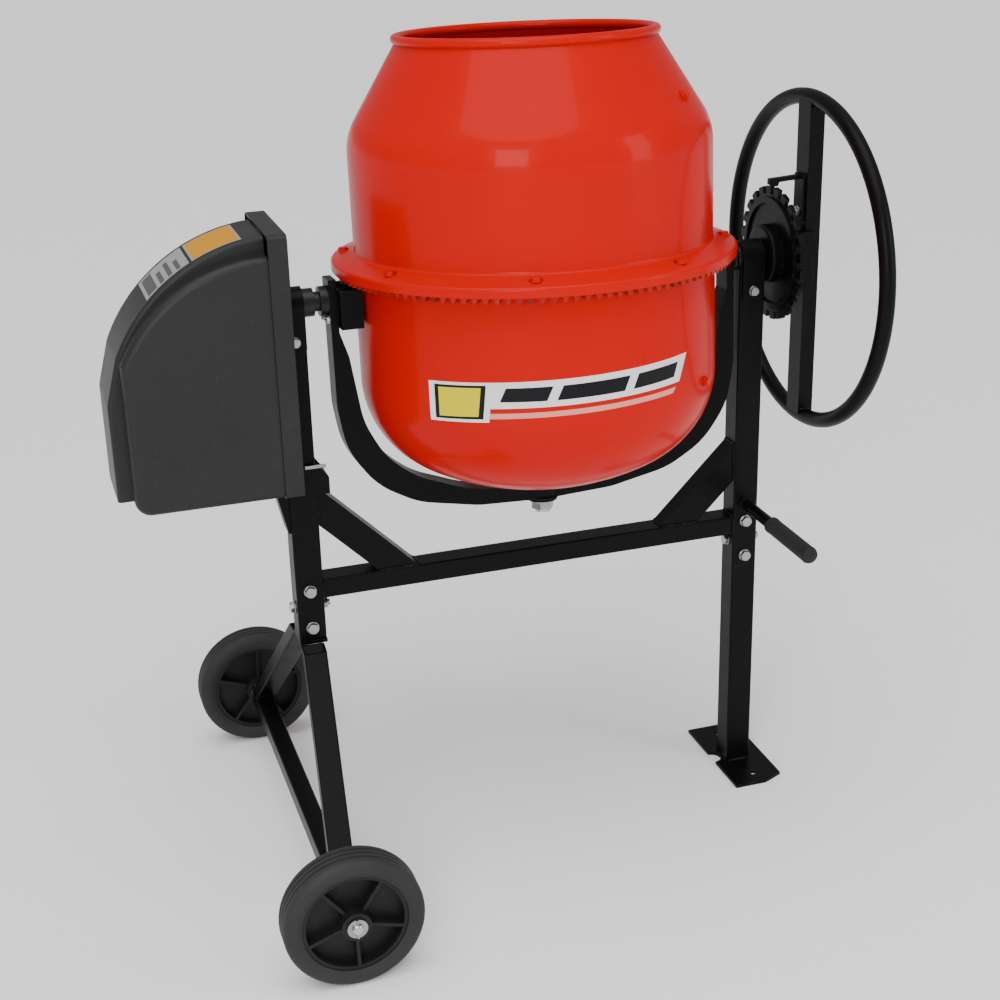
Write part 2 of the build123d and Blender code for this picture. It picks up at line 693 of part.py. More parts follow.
# ---- drive cover, hood -----------------------------------------------------------------------
def hood_shell(inset):
    """Solid filling the hood to a depth of inset below its outer surface."""
    low = COVER_LOW_Z + inset
    nose = COVER_SEAM_X - 216 + inset
    with BuildPart() as shell:
        with BuildSketch(upright(0)) as side:
            with BuildLine():
                Line((COVER_SEAM_X, low), (COVER_SEAM_X, 997 - inset))
                crown = (-560 + inset * 0.7, 951 - inset * 0.7)
                ThreePointArc((COVER_SEAM_X, 997 - inset), crown, (nose, 862))
                Line((nose, 862), (nose, low))
                Line((nose, low), (COVER_SEAM_X, low))
            make_face()
            fillet(side.vertices().sort_by(Axis.X)[:2].sort_by(Axis.Y)[:1], 24 - inset)
        extrude(amount=HOOD_HALF - inset, both=True)
        seam = COVER_SEAM_X + DRUM_X
        rims = shell.edges().filter_by(lambda e: abs(abs(e.center().Y) - HOOD_HALF + inset) < 0.01)
        fillet(rims.filter_by(lambda e: e.center().X < seam - 1), 12 - inset)
    return shell


def hood_band(inset):
    """The raised band over the hood's top and front."""
    top = 1022 - inset
    nose = -656 + inset
    with BuildPart() as band:
        with BuildSketch(upright(0)) as side:
            with BuildLine():
                Line((COVER_SEAM_X, 700), (COVER_SEAM_X, top))
                crown = (-552 + inset * 0.7, 973 - inset * 0.7)
                ThreePointArc((COVER_SEAM_X, top), crown, (-638 + inset, 866))
                Polyline((-638 + inset, 866), (nose, 800), (nose, 655 + inset), (-600, 655 + inset))
                Line((-600, 655 + inset), (COVER_SEAM_X, 655 + inset))
                Line((COVER_SEAM_X, 655 + inset), (COVER_SEAM_X, 700))
            make_face()
            fillet(side.vertices().filter_by(lambda v: 790 < v.Y < 870 and v.X < -600), 50)
        extrude(amount=BAND_HALF - inset, both=True)
        seam = COVER_SEAM_X + DRUM_X
        rims = band.edges().filter_by(lambda e: abs(abs(e.center().Y) - BAND_HALF + inset) < 0.01)
        fillet(rims.filter_by(lambda e: e.center().X < seam - 1 and e.center().Z > 656 + inset), 6 - inset)
    return band


with BuildPart() as cover_hood:
    add(hood_shell(0).part)
    add(hood_band(0).part)
    add(hood_shell(COVER_WALL).part, mode=Mode.SUBTRACT)
    add(hood_band(COVER_WALL).part, mode=Mode.SUBTRACT)
cover_hood.part.label = "cover_hood"
export_step(cover_hood.part, "parts/cover_hood.step")

# ---- bracket that carries the cover on the left post -----------------------------------------
with BuildPart() as cover_bracket:
    with BuildSketch(upright(0)):
        with BuildLine():
            Polyline(
                (POST_FACE_X, COVER_LOW_Z),
                (COVER_SEAM_X - 6, COVER_LOW_Z),
                (COVER_SEAM_X - 6, COVER_LOW_Z - 5),
                (POST_FACE_X - 4, 552),
                (POST_FACE_X, 552),
                close=True,
            )
        make_face()
    extrude(amount=18, both=True)
    with BuildSketch(upright(0)):
        with BuildLine():
            Polyline(
                (POST_FACE_X - 4, COVER_LOW_Z - 4),
                (COVER_SEAM_X - 3, COVER_LOW_Z - 4),
                (POST_FACE_X - 4, 566),
                close=True,
            )
        make_face()
    extrude(amount=14, both=True, mode=Mode.SUBTRACT)
cover_bracket.part.label = "cover_bracket"
export_step(cover_bracket.part, "parts/cover_bracket.step")

# ---- motor, fixed to the rear shell by a plate on four posts ---------------------------------
MOTOR_PLATE_X = -470.0
MOTOR_END_X = -602.0
MOTOR_SHAFT_R = 6.5
with BuildPart() as motor_mount:
    with BuildSketch(across(MOTOR_PLATE_X)):
        with Locations((0, MOTOR_Z)):
            RectangleRounded(128, 116, 8)
            Circle(22, mode=Mode.SUBTRACT)
    extrude(amount=4)
    with BuildSketch(across(MOTOR_PLATE_X)):
        with Locations((0, MOTOR_Z)):
            with GridLocations(2 * MOUNT_POST_Y, 2 * MOUNT_POST_Z, 2, 2):
                Circle(5)
    extrude(amount=WEB_FACE_X - COVER_WALL - MOTOR_PLATE_X)
motor_mount.part.label = "motor_mount"
export_step(motor_mount.part, "parts/motor_mount.step")

with BuildPart() as motor_body:
    with BuildSketch(across(MOTOR_END_X)):
        with Locations((0, MOTOR_Z)):
            Circle(MOTOR_R - 5)
            with PolarLocations(MOTOR_R - 5, 24):
                Rectangle(10, 3)
    extrude(amount=MOTOR_PLATE_X - MOTOR_END_X)
    for x, length in ((MOTOR_END_X, 26), (MOTOR_PLATE_X - 12, 12)):
        with BuildSketch(across(x)):
            with Locations((0, MOTOR_Z)):
                Circle(MOTOR_R)
        extrude(amount=length)
    with BuildSketch(across(MOTOR_END_X + 8)):
        with Locations((0, MOTOR_Z)):
            Circle(42)
    extrude(amount=MOTOR_PLATE_X - MOTOR_END_X - 16, mode=Mode.SUBTRACT)
    with BuildSketch(across(MOTOR_END_X + 8)):
        with Locations((0, MOTOR_Z)):
            Circle(MOTOR_SHAFT_R + RUNNING)
    extrude(amount=MOTOR_PLATE_X - MOTOR_END_X, mode=Mode.SUBTRACT)
motor_body.part.label = "motor_body"
export_step(motor_body.part, "parts/motor_body.step")

with BuildPart() as motor_rotor:
    with BuildSketch(across(MOTOR_END_X + 12)):
        with Locations((0, MOTOR_Z)):
            Circle(MOTOR_SHAFT_R)
    extrude(amount=PULLEY_X[1] - MOTOR_END_X - 12)
    with BuildSketch(across(-570)):
        with Locations((0, MOTOR_Z)):
            Circle(34)
    extrude(amount=74)
motor_rotor.part.label = "motor_rotor"
export_step(motor_rotor.part, "parts/motor_rotor.step")


# ---- pulleys and belt ------------------------------------------------------------------------
def pulley_body(z, radius, flange):
    """Flat pulley with two flanges that keep the belt on, between PULLEY_X."""
    width = PULLEY_X[1] - PULLEY_X[0]
    for x, r, length in ((PULLEY_X[0], radius + flange, 1.5), (PULLEY_X[1] - 1.5, radius + flange, 1.5)):
        with BuildSketch(across(x)) as rim:
            with Locations((0, z)):
                Circle(r)
        extrude(rim.sketch, amount=length)
    with BuildSketch(across(PULLEY_X[0])) as drum_face:
        with Locations((0, z)):
            Circle(radius)
    extrude(drum_face.sketch, amount=width)


with BuildPart() as motor_pulley:
    pulley_body(MOTOR_Z, MOTOR_PULLEY_R, 2.5)
    with BuildSketch(across(PULLEY_X[0])) as shaft_hole:
        with Locations((0, MOTOR_Z)):
            Circle(MOTOR_SHAFT_R)
    extrude(shaft_hole.sketch, amount=20, mode=Mode.SUBTRACT)
motor_pulley.part.label = "motor_pulley"
export_step(motor_pulley.part, "parts/motor_pulley.step")

with BuildPart() as drive_pulley:
    pulley_body(TRUNNION_Z, PULLEY_R, 3.0)
    for x, side in ((PULLEY_X[0], 1), (PULLEY_X[1], -1)):
        with BuildSketch(across(x)) as dish:
            with Locations((0, TRUNNION_Z)):
                Circle(PULLEY_R - 8)
                Circle(18, mode=Mode.SUBTRACT)
        extrude(dish.sketch, amount=side * 5, mode=Mode.SUBTRACT)
    with BuildSketch(across(PULLEY_X[0])) as holes:
        with Locations((0, TRUNNION_Z)):
            with PolarLocations(39, 5, start_angle=90):
                Circle(12)
            Circle(SHAFT_R)
    extrude(holes.sketch, amount=20, mode=Mode.SUBTRACT)
drive_pulley.part.label = "drive_pulley"
export_step(drive_pulley.part, "parts/drive_pulley.step")


def belt_loop(grow):
    """Outline round both pulleys, grown outward from their faces."""
    with BuildSketch(across(PULLEY_X[0] + 2)) as loop:
        with Locations((0, MOTOR_Z)):
            Circle(MOTOR_PULLEY_R + grow)
        with Locations((0, TRUNNION_Z)):
            Circle(PULLEY_R + grow)
        make_hull()
    return loop.sketch


with BuildPart() as drive_belt:
    extrude(belt_loop(BELT_GAP + BELT_THICK), amount=PULLEY_X[1] - PULLEY_X[0] - 4)
    extrude(belt_loop(BELT_GAP), amount=PULLEY_X[1] - PULLEY_X[0] - 4, mode=Mode.SUBTRACT)
drive_belt.part.label = "drive_belt"
export_step(drive_belt.part, "parts/drive_belt.step")

# ---- drive shaft and pinion ------------------------------------------------------------------
SHAFT_X = (-462.0, PINION_FACE[1])
with BuildPart() as drive_shaft:
    with BuildSketch(drum_across(SHAFT_X[0])):
        Circle(SHAFT_R)
    extrude(amount=SHAFT_X[1] - SHAFT_X[0])
    chamfer(drive_shaft.edges().filter_by(GeomType.CIRCLE), 1)
    for x in (PULLEY_X[0] - 3, PULLEY_X[1]):
        with BuildSketch(drum_across(x)):
            Circle(SHAFT_R + 3)
        extrude(amount=3)
drive_shaft.part.label = "drive_shaft"
export_step(drive_shaft.part, "parts/drive_shaft.step")


def involute_half_angle(r):
    """Half angle of a pinion tooth at radius r."""
    base_r = PINION_PITCH_R * math.cos(PRESSURE_ANGLE)
    pressure = math.acos(min(1.0, base_r / r))
    at_pitch = (TOOTH_PITCH / 4 - BACKLASH) / PINION_PITCH_R
    return at_pitch + (math.tan(PRESSURE_ANGLE) - PRESSURE_ANGLE) - (math.tan(pressure) - pressure)


def pinion_tooth():
    """Outline of one tooth pointing along +y, with involute flanks."""
    tip_r = PINION_PITCH_R + PINION_ADDENDUM
    base_r = PINION_PITCH_R * math.cos(PRESSURE_ANGLE)
    radii = [base_r + (tip_r - base_r) * i / 3 for i in range(4)]
    flank = [(r * math.sin(involute_half_angle(r)), r * math.cos(involute_half_angle(r))) for r in radii]
    foot_angle = involute_half_angle(base_r)
    foot = ((PINION_ROOT_R - 3) * math.sin(foot_angle), (PINION_ROOT_R - 3) * math.cos(foot_angle))
    with BuildSketch() as outline:
        with BuildLine():
            Line(foot, flank[0])
            Spline(*flank)
            Line(flank[-1], (-flank[-1][0], flank[-1][1]))
            Spline(*[(-x, y) for x, y in reversed(flank)])
            Line((-flank[0][0], flank[0][1]), (-foot[0], foot[1]))
            Line((-foot[0], foot[1]), foot)
        make_face()
    return outline.sketch


with BuildPart() as drive_pinion:
    with BuildSketch(drum_across(PINION_FACE[0])):
        Circle(PINION_ROOT_R)
        tooth = pinion_tooth()
        with PolarLocations(0, PINION_TEETH):
            add(tooth)
        Circle(SHAFT_R, mode=Mode.SUBTRACT)
    extrude(amount=PINION_FACE[1] - PINION_FACE[0])
    with BuildSketch(drum_across(PINION_FACE[0] - 7)):
        Circle(15)
        Circle(SHAFT_R, mode=Mode.SUBTRACT)
    extrude(amount=7)
drive_pinion.part.label = "drive_pinion"
export_step(drive_pinion.part, "parts/drive_pinion.step")

# ---- switch on the hood's far side, with its two buttons and the cable inlet -----------------
SWITCH_X = -540.0
SWITCH_Z = 745.0
SWITCH_DEPTH = 22.0
BUTTON_R = 11.0
BUTTON_Z = (762.0, 728.0)
BUTTON_TRAVEL = 3.0
BUTTON_DEPTH = 9.0
INLET_Z = SWITCH_Z - 42
with BuildPart() as switch_housing:
    with BuildSketch(upright(HOOD_HALF)):
        with Locations((SWITCH_X, SWITCH_Z)):
            RectangleRounded(58, 84, 8)
    extrude(amount=-SWITCH_DEPTH)
    fillet(switch_housing.faces().sort_by(Axis.Y)[-1].edges(), 4)
    for z in BUTTON_Z:
        with BuildSketch(upright(HOOD_HALF + SWITCH_DEPTH)) as well:
            with Locations((SWITCH_X, z)):
                Circle(BUTTON_R + 0.5)
        extrude(well.sketch, amount=BUTTON_DEPTH, mode=Mode.SUBTRACT)
    disc(Plane(origin=(DRUM_X + SWITCH_X, HOOD_HALF + 11, INLET_Z), z_dir=(0, 0, -1)), 6, -20, Mode.SUBTRACT)
switch_housing.part.label = "switch_housing"
export_step(switch_housing.part, "parts/switch_housing.step")

with BuildPart() as cable_inlet:
    inlet = Plane(origin=(DRUM_X + SWITCH_X, HOOD_HALF + 11, INLET_Z), z_dir=(0, 0, -1))
    with BuildSketch(inlet) as collar:
        RegularPolygon(radius=10.5, side_count=6)
    extrude(collar.sketch, amount=6)
    disc(inlet.offset(6), 7.5, 10)
    disc(inlet, 6, -8)
    disc(inlet.offset(16), 3.8, -24, Mode.SUBTRACT)
cable_inlet.part.label = "cable_inlet"
export_step(cable_inlet.part, "parts/cable_inlet.step")


def push_button(z):
    """Round push button standing out of its well by its travel."""
    with BuildPart() as button:
        with BuildSketch(upright(HOOD_HALF + SWITCH_DEPTH - BUTTON_DEPTH + BUTTON_TRAVEL + 0.5)):
            with Locations((SWITCH_X, z)):
                Circle(BUTTON_R)
        extrude(amount=-BUTTON_DEPTH)
        fillet(button.faces().sort_by(Axis.Y)[-1].edges(), 2)
    return button


start_button = push_button(BUTTON_Z[0])
start_button.part.label = "start_button"
export_step(start_button.part, "parts/start_button.step")

stop_button = push_button(BUTTON_Z[1])
stop_button.part.label = "stop_button"
export_step(stop_button.part, "parts/stop_button.step")

# ---- bolts that hold the pinion guard on the yoke's left end ---------------------------------
ARM_INNER_X = ARM_TOP_X - ARM_TOP_THICK
GUARD_BOLT_R = 3.0
GUARD_BOLT_H = -27.0
GUARD_BOLTS = [
    Plane(drum_across(-ARM_INNER_X + COVER_WALL).location * Location((y, GUARD_BOLT_H, 0)))
    for y in (-13, 13)
]

# ---- yoke arm: bent bar under the drum, flattened where it meets the trunnions ---------------
with BuildPart() as yoke_arm:
    outer_half = [(ARM_TOP_X, -60), (ARM_TOP_X, -160), (311, -228)]
    outer_half += [(268, -288), (206, -323), (110, -342), (0, -347)]
    inner_half = [(0, -323), (70, -322), (128, -312), (204, -283), (252, -246), (283, -186), (298, -84)]
    top_outer = (ARM_TOP_X, 33)
    top_inner = (ARM_INNER_X, 33)
    shoulder = (ARM_INNER_X, -46)
    right = [shoulder, top_inner, top_outer] + outer_half
    inner_left = [(-x, h) for x, h in inner_half[1:]]
    left = [(-x, h) for x, h in reversed(right)][1:]
    with BuildSketch(drum_radial(0)) as arm_outline:
        with BuildLine():
            Polyline(*right, *left, *reversed(inner_left), *inner_half, close=True)
        make_face()
        bends = arm_outline.vertices().filter_by(lambda v: v.Y < -100 and abs(v.X) > 60)
        fillet(bends, 130)
    extrude(amount=YOKE_W / 2, both=True)
    disc(drum_level(BOSS_LOW_H), BOSS_R, BOSS_HEIGHT)
    disc(drum_level(BOSS_LOW_H - 1), SPINDLE_BUSH_R, BOSS_HEIGHT + 10, Mode.SUBTRACT)
    for side in (-1, 1):
        with BuildSketch(drum_across(side * (ARM_TOP_X - ARM_TOP_THICK / 2))) as bore:
            Circle(TRUNNION_R)
        extrude(bore.sketch, amount=ARM_TOP_THICK, both=True, mode=Mode.SUBTRACT)
    for plane in GUARD_BOLTS:
        disc(plane, GUARD_BOLT_R + HOLE_PLAY, -40, Mode.SUBTRACT)
yoke_arm.part.label = "yoke_arm"
export_step(yoke_arm.part, "parts/yoke_arm.step")

# ---- trunnions -------------------------------------------------------------------------------
with BuildPart() as left_trunnion:
    with BuildSketch(drum_across(-408)):
        Circle(TRUNNION_R)
        Circle(BUSH_R, mode=Mode.SUBTRACT)
    extrude(amount=408 - ARM_INNER_X)
    with BuildSketch(drum_across(-ARM_TOP_X)):
        Circle(22)
        Circle(TRUNNION_R, mode=Mode.SUBTRACT)
    extrude(amount=-12)
left_trunnion.part.label = "left_trunnion"
export_step(left_trunnion.part, "parts/left_trunnion.step")

with BuildPart() as right_trunnion:
    with BuildSketch(drum_across(ARM_INNER_X)):
        Circle(TRUNNION_R)
    extrude(amount=GUIDE_X[0] - ARM_INNER_X)
    with BuildSketch(drum_across(ARM_TOP_X)):
        Circle(22)
        Circle(TRUNNION_R, mode=Mode.SUBTRACT)
    extrude(amount=6)
right_trunnion.part.label = "right_trunnion"
export_step(right_trunnion.part, "parts/right_trunnion.step")

with BuildPart() as shaft_bushes:
    for x in (-408.0, -336.0):
        with BuildSketch(drum_across(x)) as ring:
            Circle(BUSH_R)
            Circle(SHAFT_R + RUNNING, mode=Mode.SUBTRACT)
        extrude(ring.sketch, amount=26)
shaft_bushes.part.label = "shaft_bushes"
export_step(shaft_bushes.part, "parts/shaft_bushes.step")

# ---- pinion guard: folded box round the pinion, open to the crown gear and the drum ----------
GUARD_HALF = 41.0
GUARD_LOW_H = -38.0
GUARD_TOP_H = 19.0
with BuildPart() as pinion_guard:
    with BuildSketch(drum_across(-ARM_INNER_X)):
        with Locations((0, (GUARD_LOW_H + GUARD_TOP_H) / 2)):
            Rectangle(2 * GUARD_HALF, GUARD_TOP_H - GUARD_LOW_H)
    extrude(amount=ARM_INNER_X - 277)
    with BuildSketch(drum_across(-ARM_INNER_X + COVER_WALL)):
        with Locations((0, 0)):
            Rectangle(2 * (GUARD_HALF - COVER_WALL), 2 * (-GUARD_LOW_H - COVER_WALL))
    extrude(amount=60, mode=Mode.SUBTRACT)
    with BuildSketch(drum_across(-ARM_INNER_X)):
        Circle(TRUNNION_R + 3)
    extrude(amount=COVER_WALL, mode=Mode.SUBTRACT)
    for plane in GUARD_BOLTS:
        disc(plane, GUARD_BOLT_R + HOLE_PLAY, -COVER_WALL, Mode.SUBTRACT)
pinion_guard.part.label = "pinion_guard"
export_step(pinion_guard.part, "parts/pinion_guard.step")

# ---- drum bearing bush in the yoke's boss ----------------------------------------------------
with BuildPart() as drum_bush:
    with BuildSketch(drum_level(BOSS_LOW_H)):
        Circle(SPINDLE_BUSH_R)
        Circle(SPINDLE_R + RUNNING, mode=Mode.SUBTRACT)
    extrude(amount=BOSS_HEIGHT + 2)
drum_bush.part.label = "drum_bush"
export_step(drum_bush.part, "parts/drum_bush.step")

# ---- guide block on the right trunnion, in which the handwheel's bar slides ------------------
GUIDE_MIDDLE_Z = TRUNNION_Z - 14
GUIDE_HALF_Z = 48.0
SLOT_BOLT_Z = (TRUNNION_Z - 24, TRUNNION_Z - 50)
with BuildPart() as wheel_guide:
    with BuildSketch(across(GUIDE_X[0])):
        with Locations((0, GUIDE_MIDDLE_Z)):
            Rectangle(BAR_W + 14, 2 * GUIDE_HALF_Z)
    extrude(amount=GUIDE_X[1] - GUIDE_X[0])
    with BuildSketch(across(GUIDE_X[1])):
        with Locations((-BAR_W / 2 - 5, GUIDE_MIDDLE_Z), (BAR_W / 2 + 5, GUIDE_MIDDLE_Z)):
            Rectangle(4, 2 * GUIDE_HALF_Z)
    extrude(amount=14)
    for z in SLOT_BOLT_Z:
        disc(Plane(origin=(DRUM_X + GUIDE_X[0], 0, z), z_dir=(1, 0, 0)), M8, 20, Mode.SUBTRACT)
wheel_guide.part.label = "wheel_guide"
export_step(wheel_guide.part, "parts/wheel_guide.step")

# ---- handwheel: tube ring with a channel bar welded across it --------------------------------
TOOTH_LOW_Z = TRUNNION_Z + DIAL_R + TOOTH_GAP
TOOTH_BOLT_Z = 968.0
TOOTH_PLATE_Z = (953.0, TOOTH_LOW_Z + 15)
BAR_BACK_X = WHEEL_RING_X - BAR_DEPTH / 2
BAR_HALF_Z = WHEEL_RING_R - 4
TOOTH_BOLT_PLACE = (DRUM_X + BAR_BACK_X - 5, 0, TOOTH_BOLT_Z)
with BuildPart() as handwheel:
    ring_middle = (DRUM_X + WHEEL_RING_X, 0, WHEEL_RING_Z)
    with BuildSketch(Plane(origin=ring_middle, x_dir=(0, 1, 0), z_dir=(0, 0, 1))):
        with Locations((WHEEL_RING_R, 0)):
            Circle(WHEEL_TUBE_R)
    revolve(axis=Axis(ring_middle, (1, 0, 0)))
    with BuildSketch(level(WHEEL_RING_Z - BAR_HALF_Z)):
        with Locations((WHEEL_RING_X, 0)):
            Rectangle(BAR_DEPTH, BAR_W)
        with Locations((WHEEL_RING_X + BAR_WALL, 0)):
            Rectangle(BAR_DEPTH, BAR_W - 2 * BAR_WALL, mode=Mode.SUBTRACT)
    extrude(amount=2 * BAR_HALF_Z)
    with BuildSketch(across(BAR_BACK_X - 1)):
        for z in SLOT_BOLT_Z:
            with Locations((0, z + LOCK_TRAVEL / 2)):
                SlotCenterToCenter(LOCK_TRAVEL + 0.6, 2 * M8 + 1, rotation=90)
    extrude(amount=BAR_WALL + 2, mode=Mode.SUBTRACT)
    disc(Plane(TOOTH_BOLT_PLACE, z_dir=(-1, 0, 0)), M8 + HOLE_PLAY, -20, Mode.SUBTRACT)
handwheel.part.label = "handwheel"
export_step(handwheel.part, "parts/handwheel.step")

# ---- lock tooth: bracket on the bar whose tooth drops into a notch of the dial ---------------
with BuildPart() as lock_tooth:
    with BuildSketch(upright(0)):
        with BuildLine():
            Polyline(
                (BAR_BACK_X, TOOTH_LOW_Z + 15),
                (BAR_BACK_X - 5, TOOTH_LOW_Z + 15),
                (DIAL_X - 7, TOOTH_LOW_Z + 12),
                (DIAL_X - 7, TOOTH_LOW_Z + 3),
                (DIAL_X - 1, TOOTH_LOW_Z),
                (DIAL_X + DIAL_THICK + 1, TOOTH_LOW_Z),
                (DIAL_X + DIAL_THICK + 3, TOOTH_LOW_Z + 6),
                (BAR_BACK_X, TOOTH_LOW_Z + 8),
                close=True,
            )
        make_face()
    extrude(amount=4, both=True)
    with BuildSketch(across(BAR_BACK_X)):
        with Locations((0, sum(TOOTH_PLATE_Z) / 2)):
            Rectangle(30, TOOTH_PLATE_Z[1] - TOOTH_PLATE_Z[0])
    extrude(amount=-5)
    disc(Plane(TOOTH_BOLT_PLACE, z_dir=(-1, 0, 0)), M8 + HOLE_PLAY, -6, Mode.SUBTRACT)
lock_tooth.part.label = "lock_tooth"
export_step(lock_tooth.part, "parts/lock_tooth.step")

with BuildPart() as tooth_bolt:
    hex_bolt(Plane(TOOTH_BOLT_PLACE, z_dir=(-1, 0, 0)), M8, 5 + BAR_WALL)
tooth_bolt.part.label = "tooth_bolt"
export_step(tooth_bolt.part, "parts/tooth_bolt.step")

# ---- drum, lower bowl ------------------------------------------------------------------------
SWEEP = math.radians(KNUCKLE_SWEEP)
KNUCKLE_END_R = BOWL_R - KNUCKLE_R * (1 - math.cos(SWEEP))
DISH_R = KNUCKLE_END_R / math.cos(SWEEP)
KNUCKLE_END_H = BOWL_WALL_LOW_H - KNUCKLE_R * math.sin(SWEEP)
DISH_CENTRE_H = KNUCKLE_END_H + DISH_R * math.sin(SWEEP)


def bowl_point(r, depth):
    """Height of the dished bottom's surface at radius r, depth inside the outer skin."""
    return DISH_CENTRE_H - math.sqrt((DISH_R - depth) ** 2 - r**2)


def bowl_skin(depth):
    """Bowl profile at a depth inside its outer skin, from the seam down to the flat bottom."""
    wall_r = BOWL_R - depth
    knuckle = KNUCKLE_R - depth
    centre_r = BOWL_R - KNUCKLE_R
    half = SWEEP / 2
    mid = (centre_r + knuckle * math.cos(half), BOWL_WALL_LOW_H - knuckle * math.sin(half))
    end = (centre_r + knuckle * math.cos(SWEEP), BOWL_WALL_LOW_H - knuckle * math.sin(SWEEP))
    dish_mid_r = (end[0] + BOWL_FLAT_R) / 2
    flat = (BOWL_FLAT_R, bowl_point(BOWL_FLAT_R, depth))
    Line((wall_r, SEAM_H - SHEET), (wall_r, BOWL_WALL_LOW_H))
    ThreePointArc((wall_r, BOWL_WALL_LOW_H), mid, end)
    ThreePointArc(end, (dish_mid_r, bowl_point(dish_mid_r, depth)), flat)
    Line(flat, (0, flat[1]))
    return flat[1]


with BuildPart() as drum_bowl:
    with BuildSketch(drum_radial(0)) as profile:
        with BuildLine():
            FLOOR_UNDER_H = bowl_skin(0)
            FLOOR_TOP_H = bowl_skin(SHEET)
            Line((0, FLOOR_UNDER_H), (0, FLOOR_TOP_H))
            Line((BOWL_R, SEAM_H - SHEET), (BOWL_FLANGE_R, SEAM_H - SHEET))
            Line((BOWL_FLANGE_R, SEAM_H - SHEET), (BOWL_FLANGE_R, SEAM_H))
            Line((BOWL_FLANGE_R, SEAM_H), (BOWL_R - SHEET, SEAM_H))
            Line((BOWL_R - SHEET, SEAM_H), (BOWL_R - SHEET, SEAM_H - SHEET))
        make_face()
    revolve_about_drum(profile)
    for azimuth in BLADE_AZIMUTHS:
        disc(drum_wall(azimuth, BOWL_R + 1, LOW_BOLT_H, 0), M8 + HOLE_PLAY, -8, Mode.SUBTRACT)
    with BuildSketch(drum_level(SEAM_H - 10)) as belt_holes:
        with PolarLocations(BELT_BOLT_R, BELT_BOLT_COUNT, start_angle=-108):
            Circle(M8 + HOLE_PLAY)
    extrude(belt_holes.sketch, amount=20, mode=Mode.SUBTRACT)
    disc(drum_level(FLOOR_UNDER_H - 1), 10.2, 6, Mode.SUBTRACT)
drum_bowl.part.label = "drum_bowl"
export_step(drum_bowl.part, "parts/drum_bowl.step")

# ---- drum, upper cone with its belt and rolled mouth -----------------------------------------
with BuildPart() as drum_cone:
    with BuildSketch(drum_radial(0)) as cone_profile:
        with BuildLine():
            Polyline(
                (CONE_R - SHEET, SEAM_H),
                (BELT_R - SHEET, SEAM_H),
                (BELT_R - SHEET, BELT_LOW_H),
                (BELT_R, BELT_LOW_H),
                (BELT_R, BELT_TOP_H),
                (CONE_R, BELT_SLOPE_H),
                (CONE_R, SHOULDER_H),
                (MOUTH_R, MOUTH_H),
                (MOUTH_R - SHEET, MOUTH_H),
                (CONE_R - SHEET, SHOULDER_H),
                close=True,
            )
        make_face()
        round_corner(cone_profile, BELT_R, BELT_TOP_H, BEND_R)
        round_corner(cone_profile, CONE_R, BELT_SLOPE_H, BEND_R)
        round_corner(cone_profile, CONE_R, SHOULDER_H, SHOULDER_R)
        round_corner(cone_profile, CONE_R - SHEET, SHOULDER_H, SHOULDER_R - SHEET)
        with Locations((MOUTH_R - SHEET / 2 + 2, MOUTH_H + 2)):
            Circle(LIP_R)
    revolve_about_drum(cone_profile)
    with BuildSketch(drum_level(BELT_SPOT_H)) as spots:
        with PolarLocations(BELT_BOLT_R, BELT_BOLT_COUNT, start_angle=-108):
            Circle(2 * M8 + 1.5)
    extrude(spots.sketch, amount=20, mode=Mode.SUBTRACT)
    with BuildSketch(drum_level(SEAM_H - 1)) as cone_holes:
        with PolarLocations(BELT_BOLT_R, BELT_BOLT_COUNT, start_angle=-108):
            Circle(M8 + HOLE_PLAY)
    extrude(cone_holes.sketch, amount=20, mode=Mode.SUBTRACT)
    for azimuth in BLADE_AZIMUTHS:
        cone_bolt = drum_wall(azimuth, HIGH_BOLT_R, HIGH_BOLT_H, CONE_PITCH)
        disc(cone_bolt.offset(2), M8 + HOLE_PLAY, -10, Mode.SUBTRACT)
drum_cone.part.label = "drum_cone"
export_step(drum_cone.part, "parts/drum_cone.step")

# ---- crown gear under the belt, teeth pointing down ------------------------------------------
GEAR_PITCH_H = PINION_PITCH_R
GEAR_ROOT_H = GEAR_PITCH_H + GEAR_DEDENDUM
GEAR_TIP_H = GEAR_PITCH_H - GEAR_ADDENDUM
TOOTH_SINK = 0.5
with BuildPart() as crown_gear:
    with BuildSketch(drum_level(GEAR_ROOT_H)):
        Circle(GEAR_OUTER_R)
        Circle(GEAR_INNER_R, mode=Mode.SUBTRACT)
        with PolarLocations(BELT_BOLT_R, BELT_BOLT_COUNT, start_angle=-108):
            Circle(M8 + HOLE_PLAY, mode=Mode.SUBTRACT)
    extrude(amount=GEAR_BACK_H - GEAR_ROOT_H)
    half_pitch_line = TOOTH_PITCH / 4 - BACKLASH
    half_tip = half_pitch_line - GEAR_ADDENDUM * math.tan(PRESSURE_ANGLE)
    half_root = half_pitch_line + GEAR_DEDENDUM * math.tan(PRESSURE_ANGLE)
    half_root = min(half_root, TOOTH_PITCH / 2 - 0.6)
    tooth_plane = Plane(drum_across(GEAR_INNER_R + 1).location)
    with BuildSketch(tooth_plane) as tooth_section:
        with BuildLine():
            Polyline(
                (-half_root, GEAR_ROOT_H + TOOTH_SINK),
                (-half_root, GEAR_ROOT_H),
                (-half_tip, GEAR_TIP_H),
                (half_tip, GEAR_TIP_H),
                (half_root, GEAR_ROOT_H),
                (half_root, GEAR_ROOT_H + TOOTH_SINK),
                close=True,
            )
        make_face()
    one_tooth = extrude(tooth_section.sketch, amount=GEAR_OUTER_R - GEAR_INNER_R - 2, mode=Mode.PRIVATE)
    drum_axis = Axis(drum_level(0).origin, drum_level(0).z_dir)
    teeth = [one_tooth.rotate(drum_axis, (i + 0.5) * 360 / GEAR_TEETH) for i in range(GEAR_TEETH)]
    add(teeth)
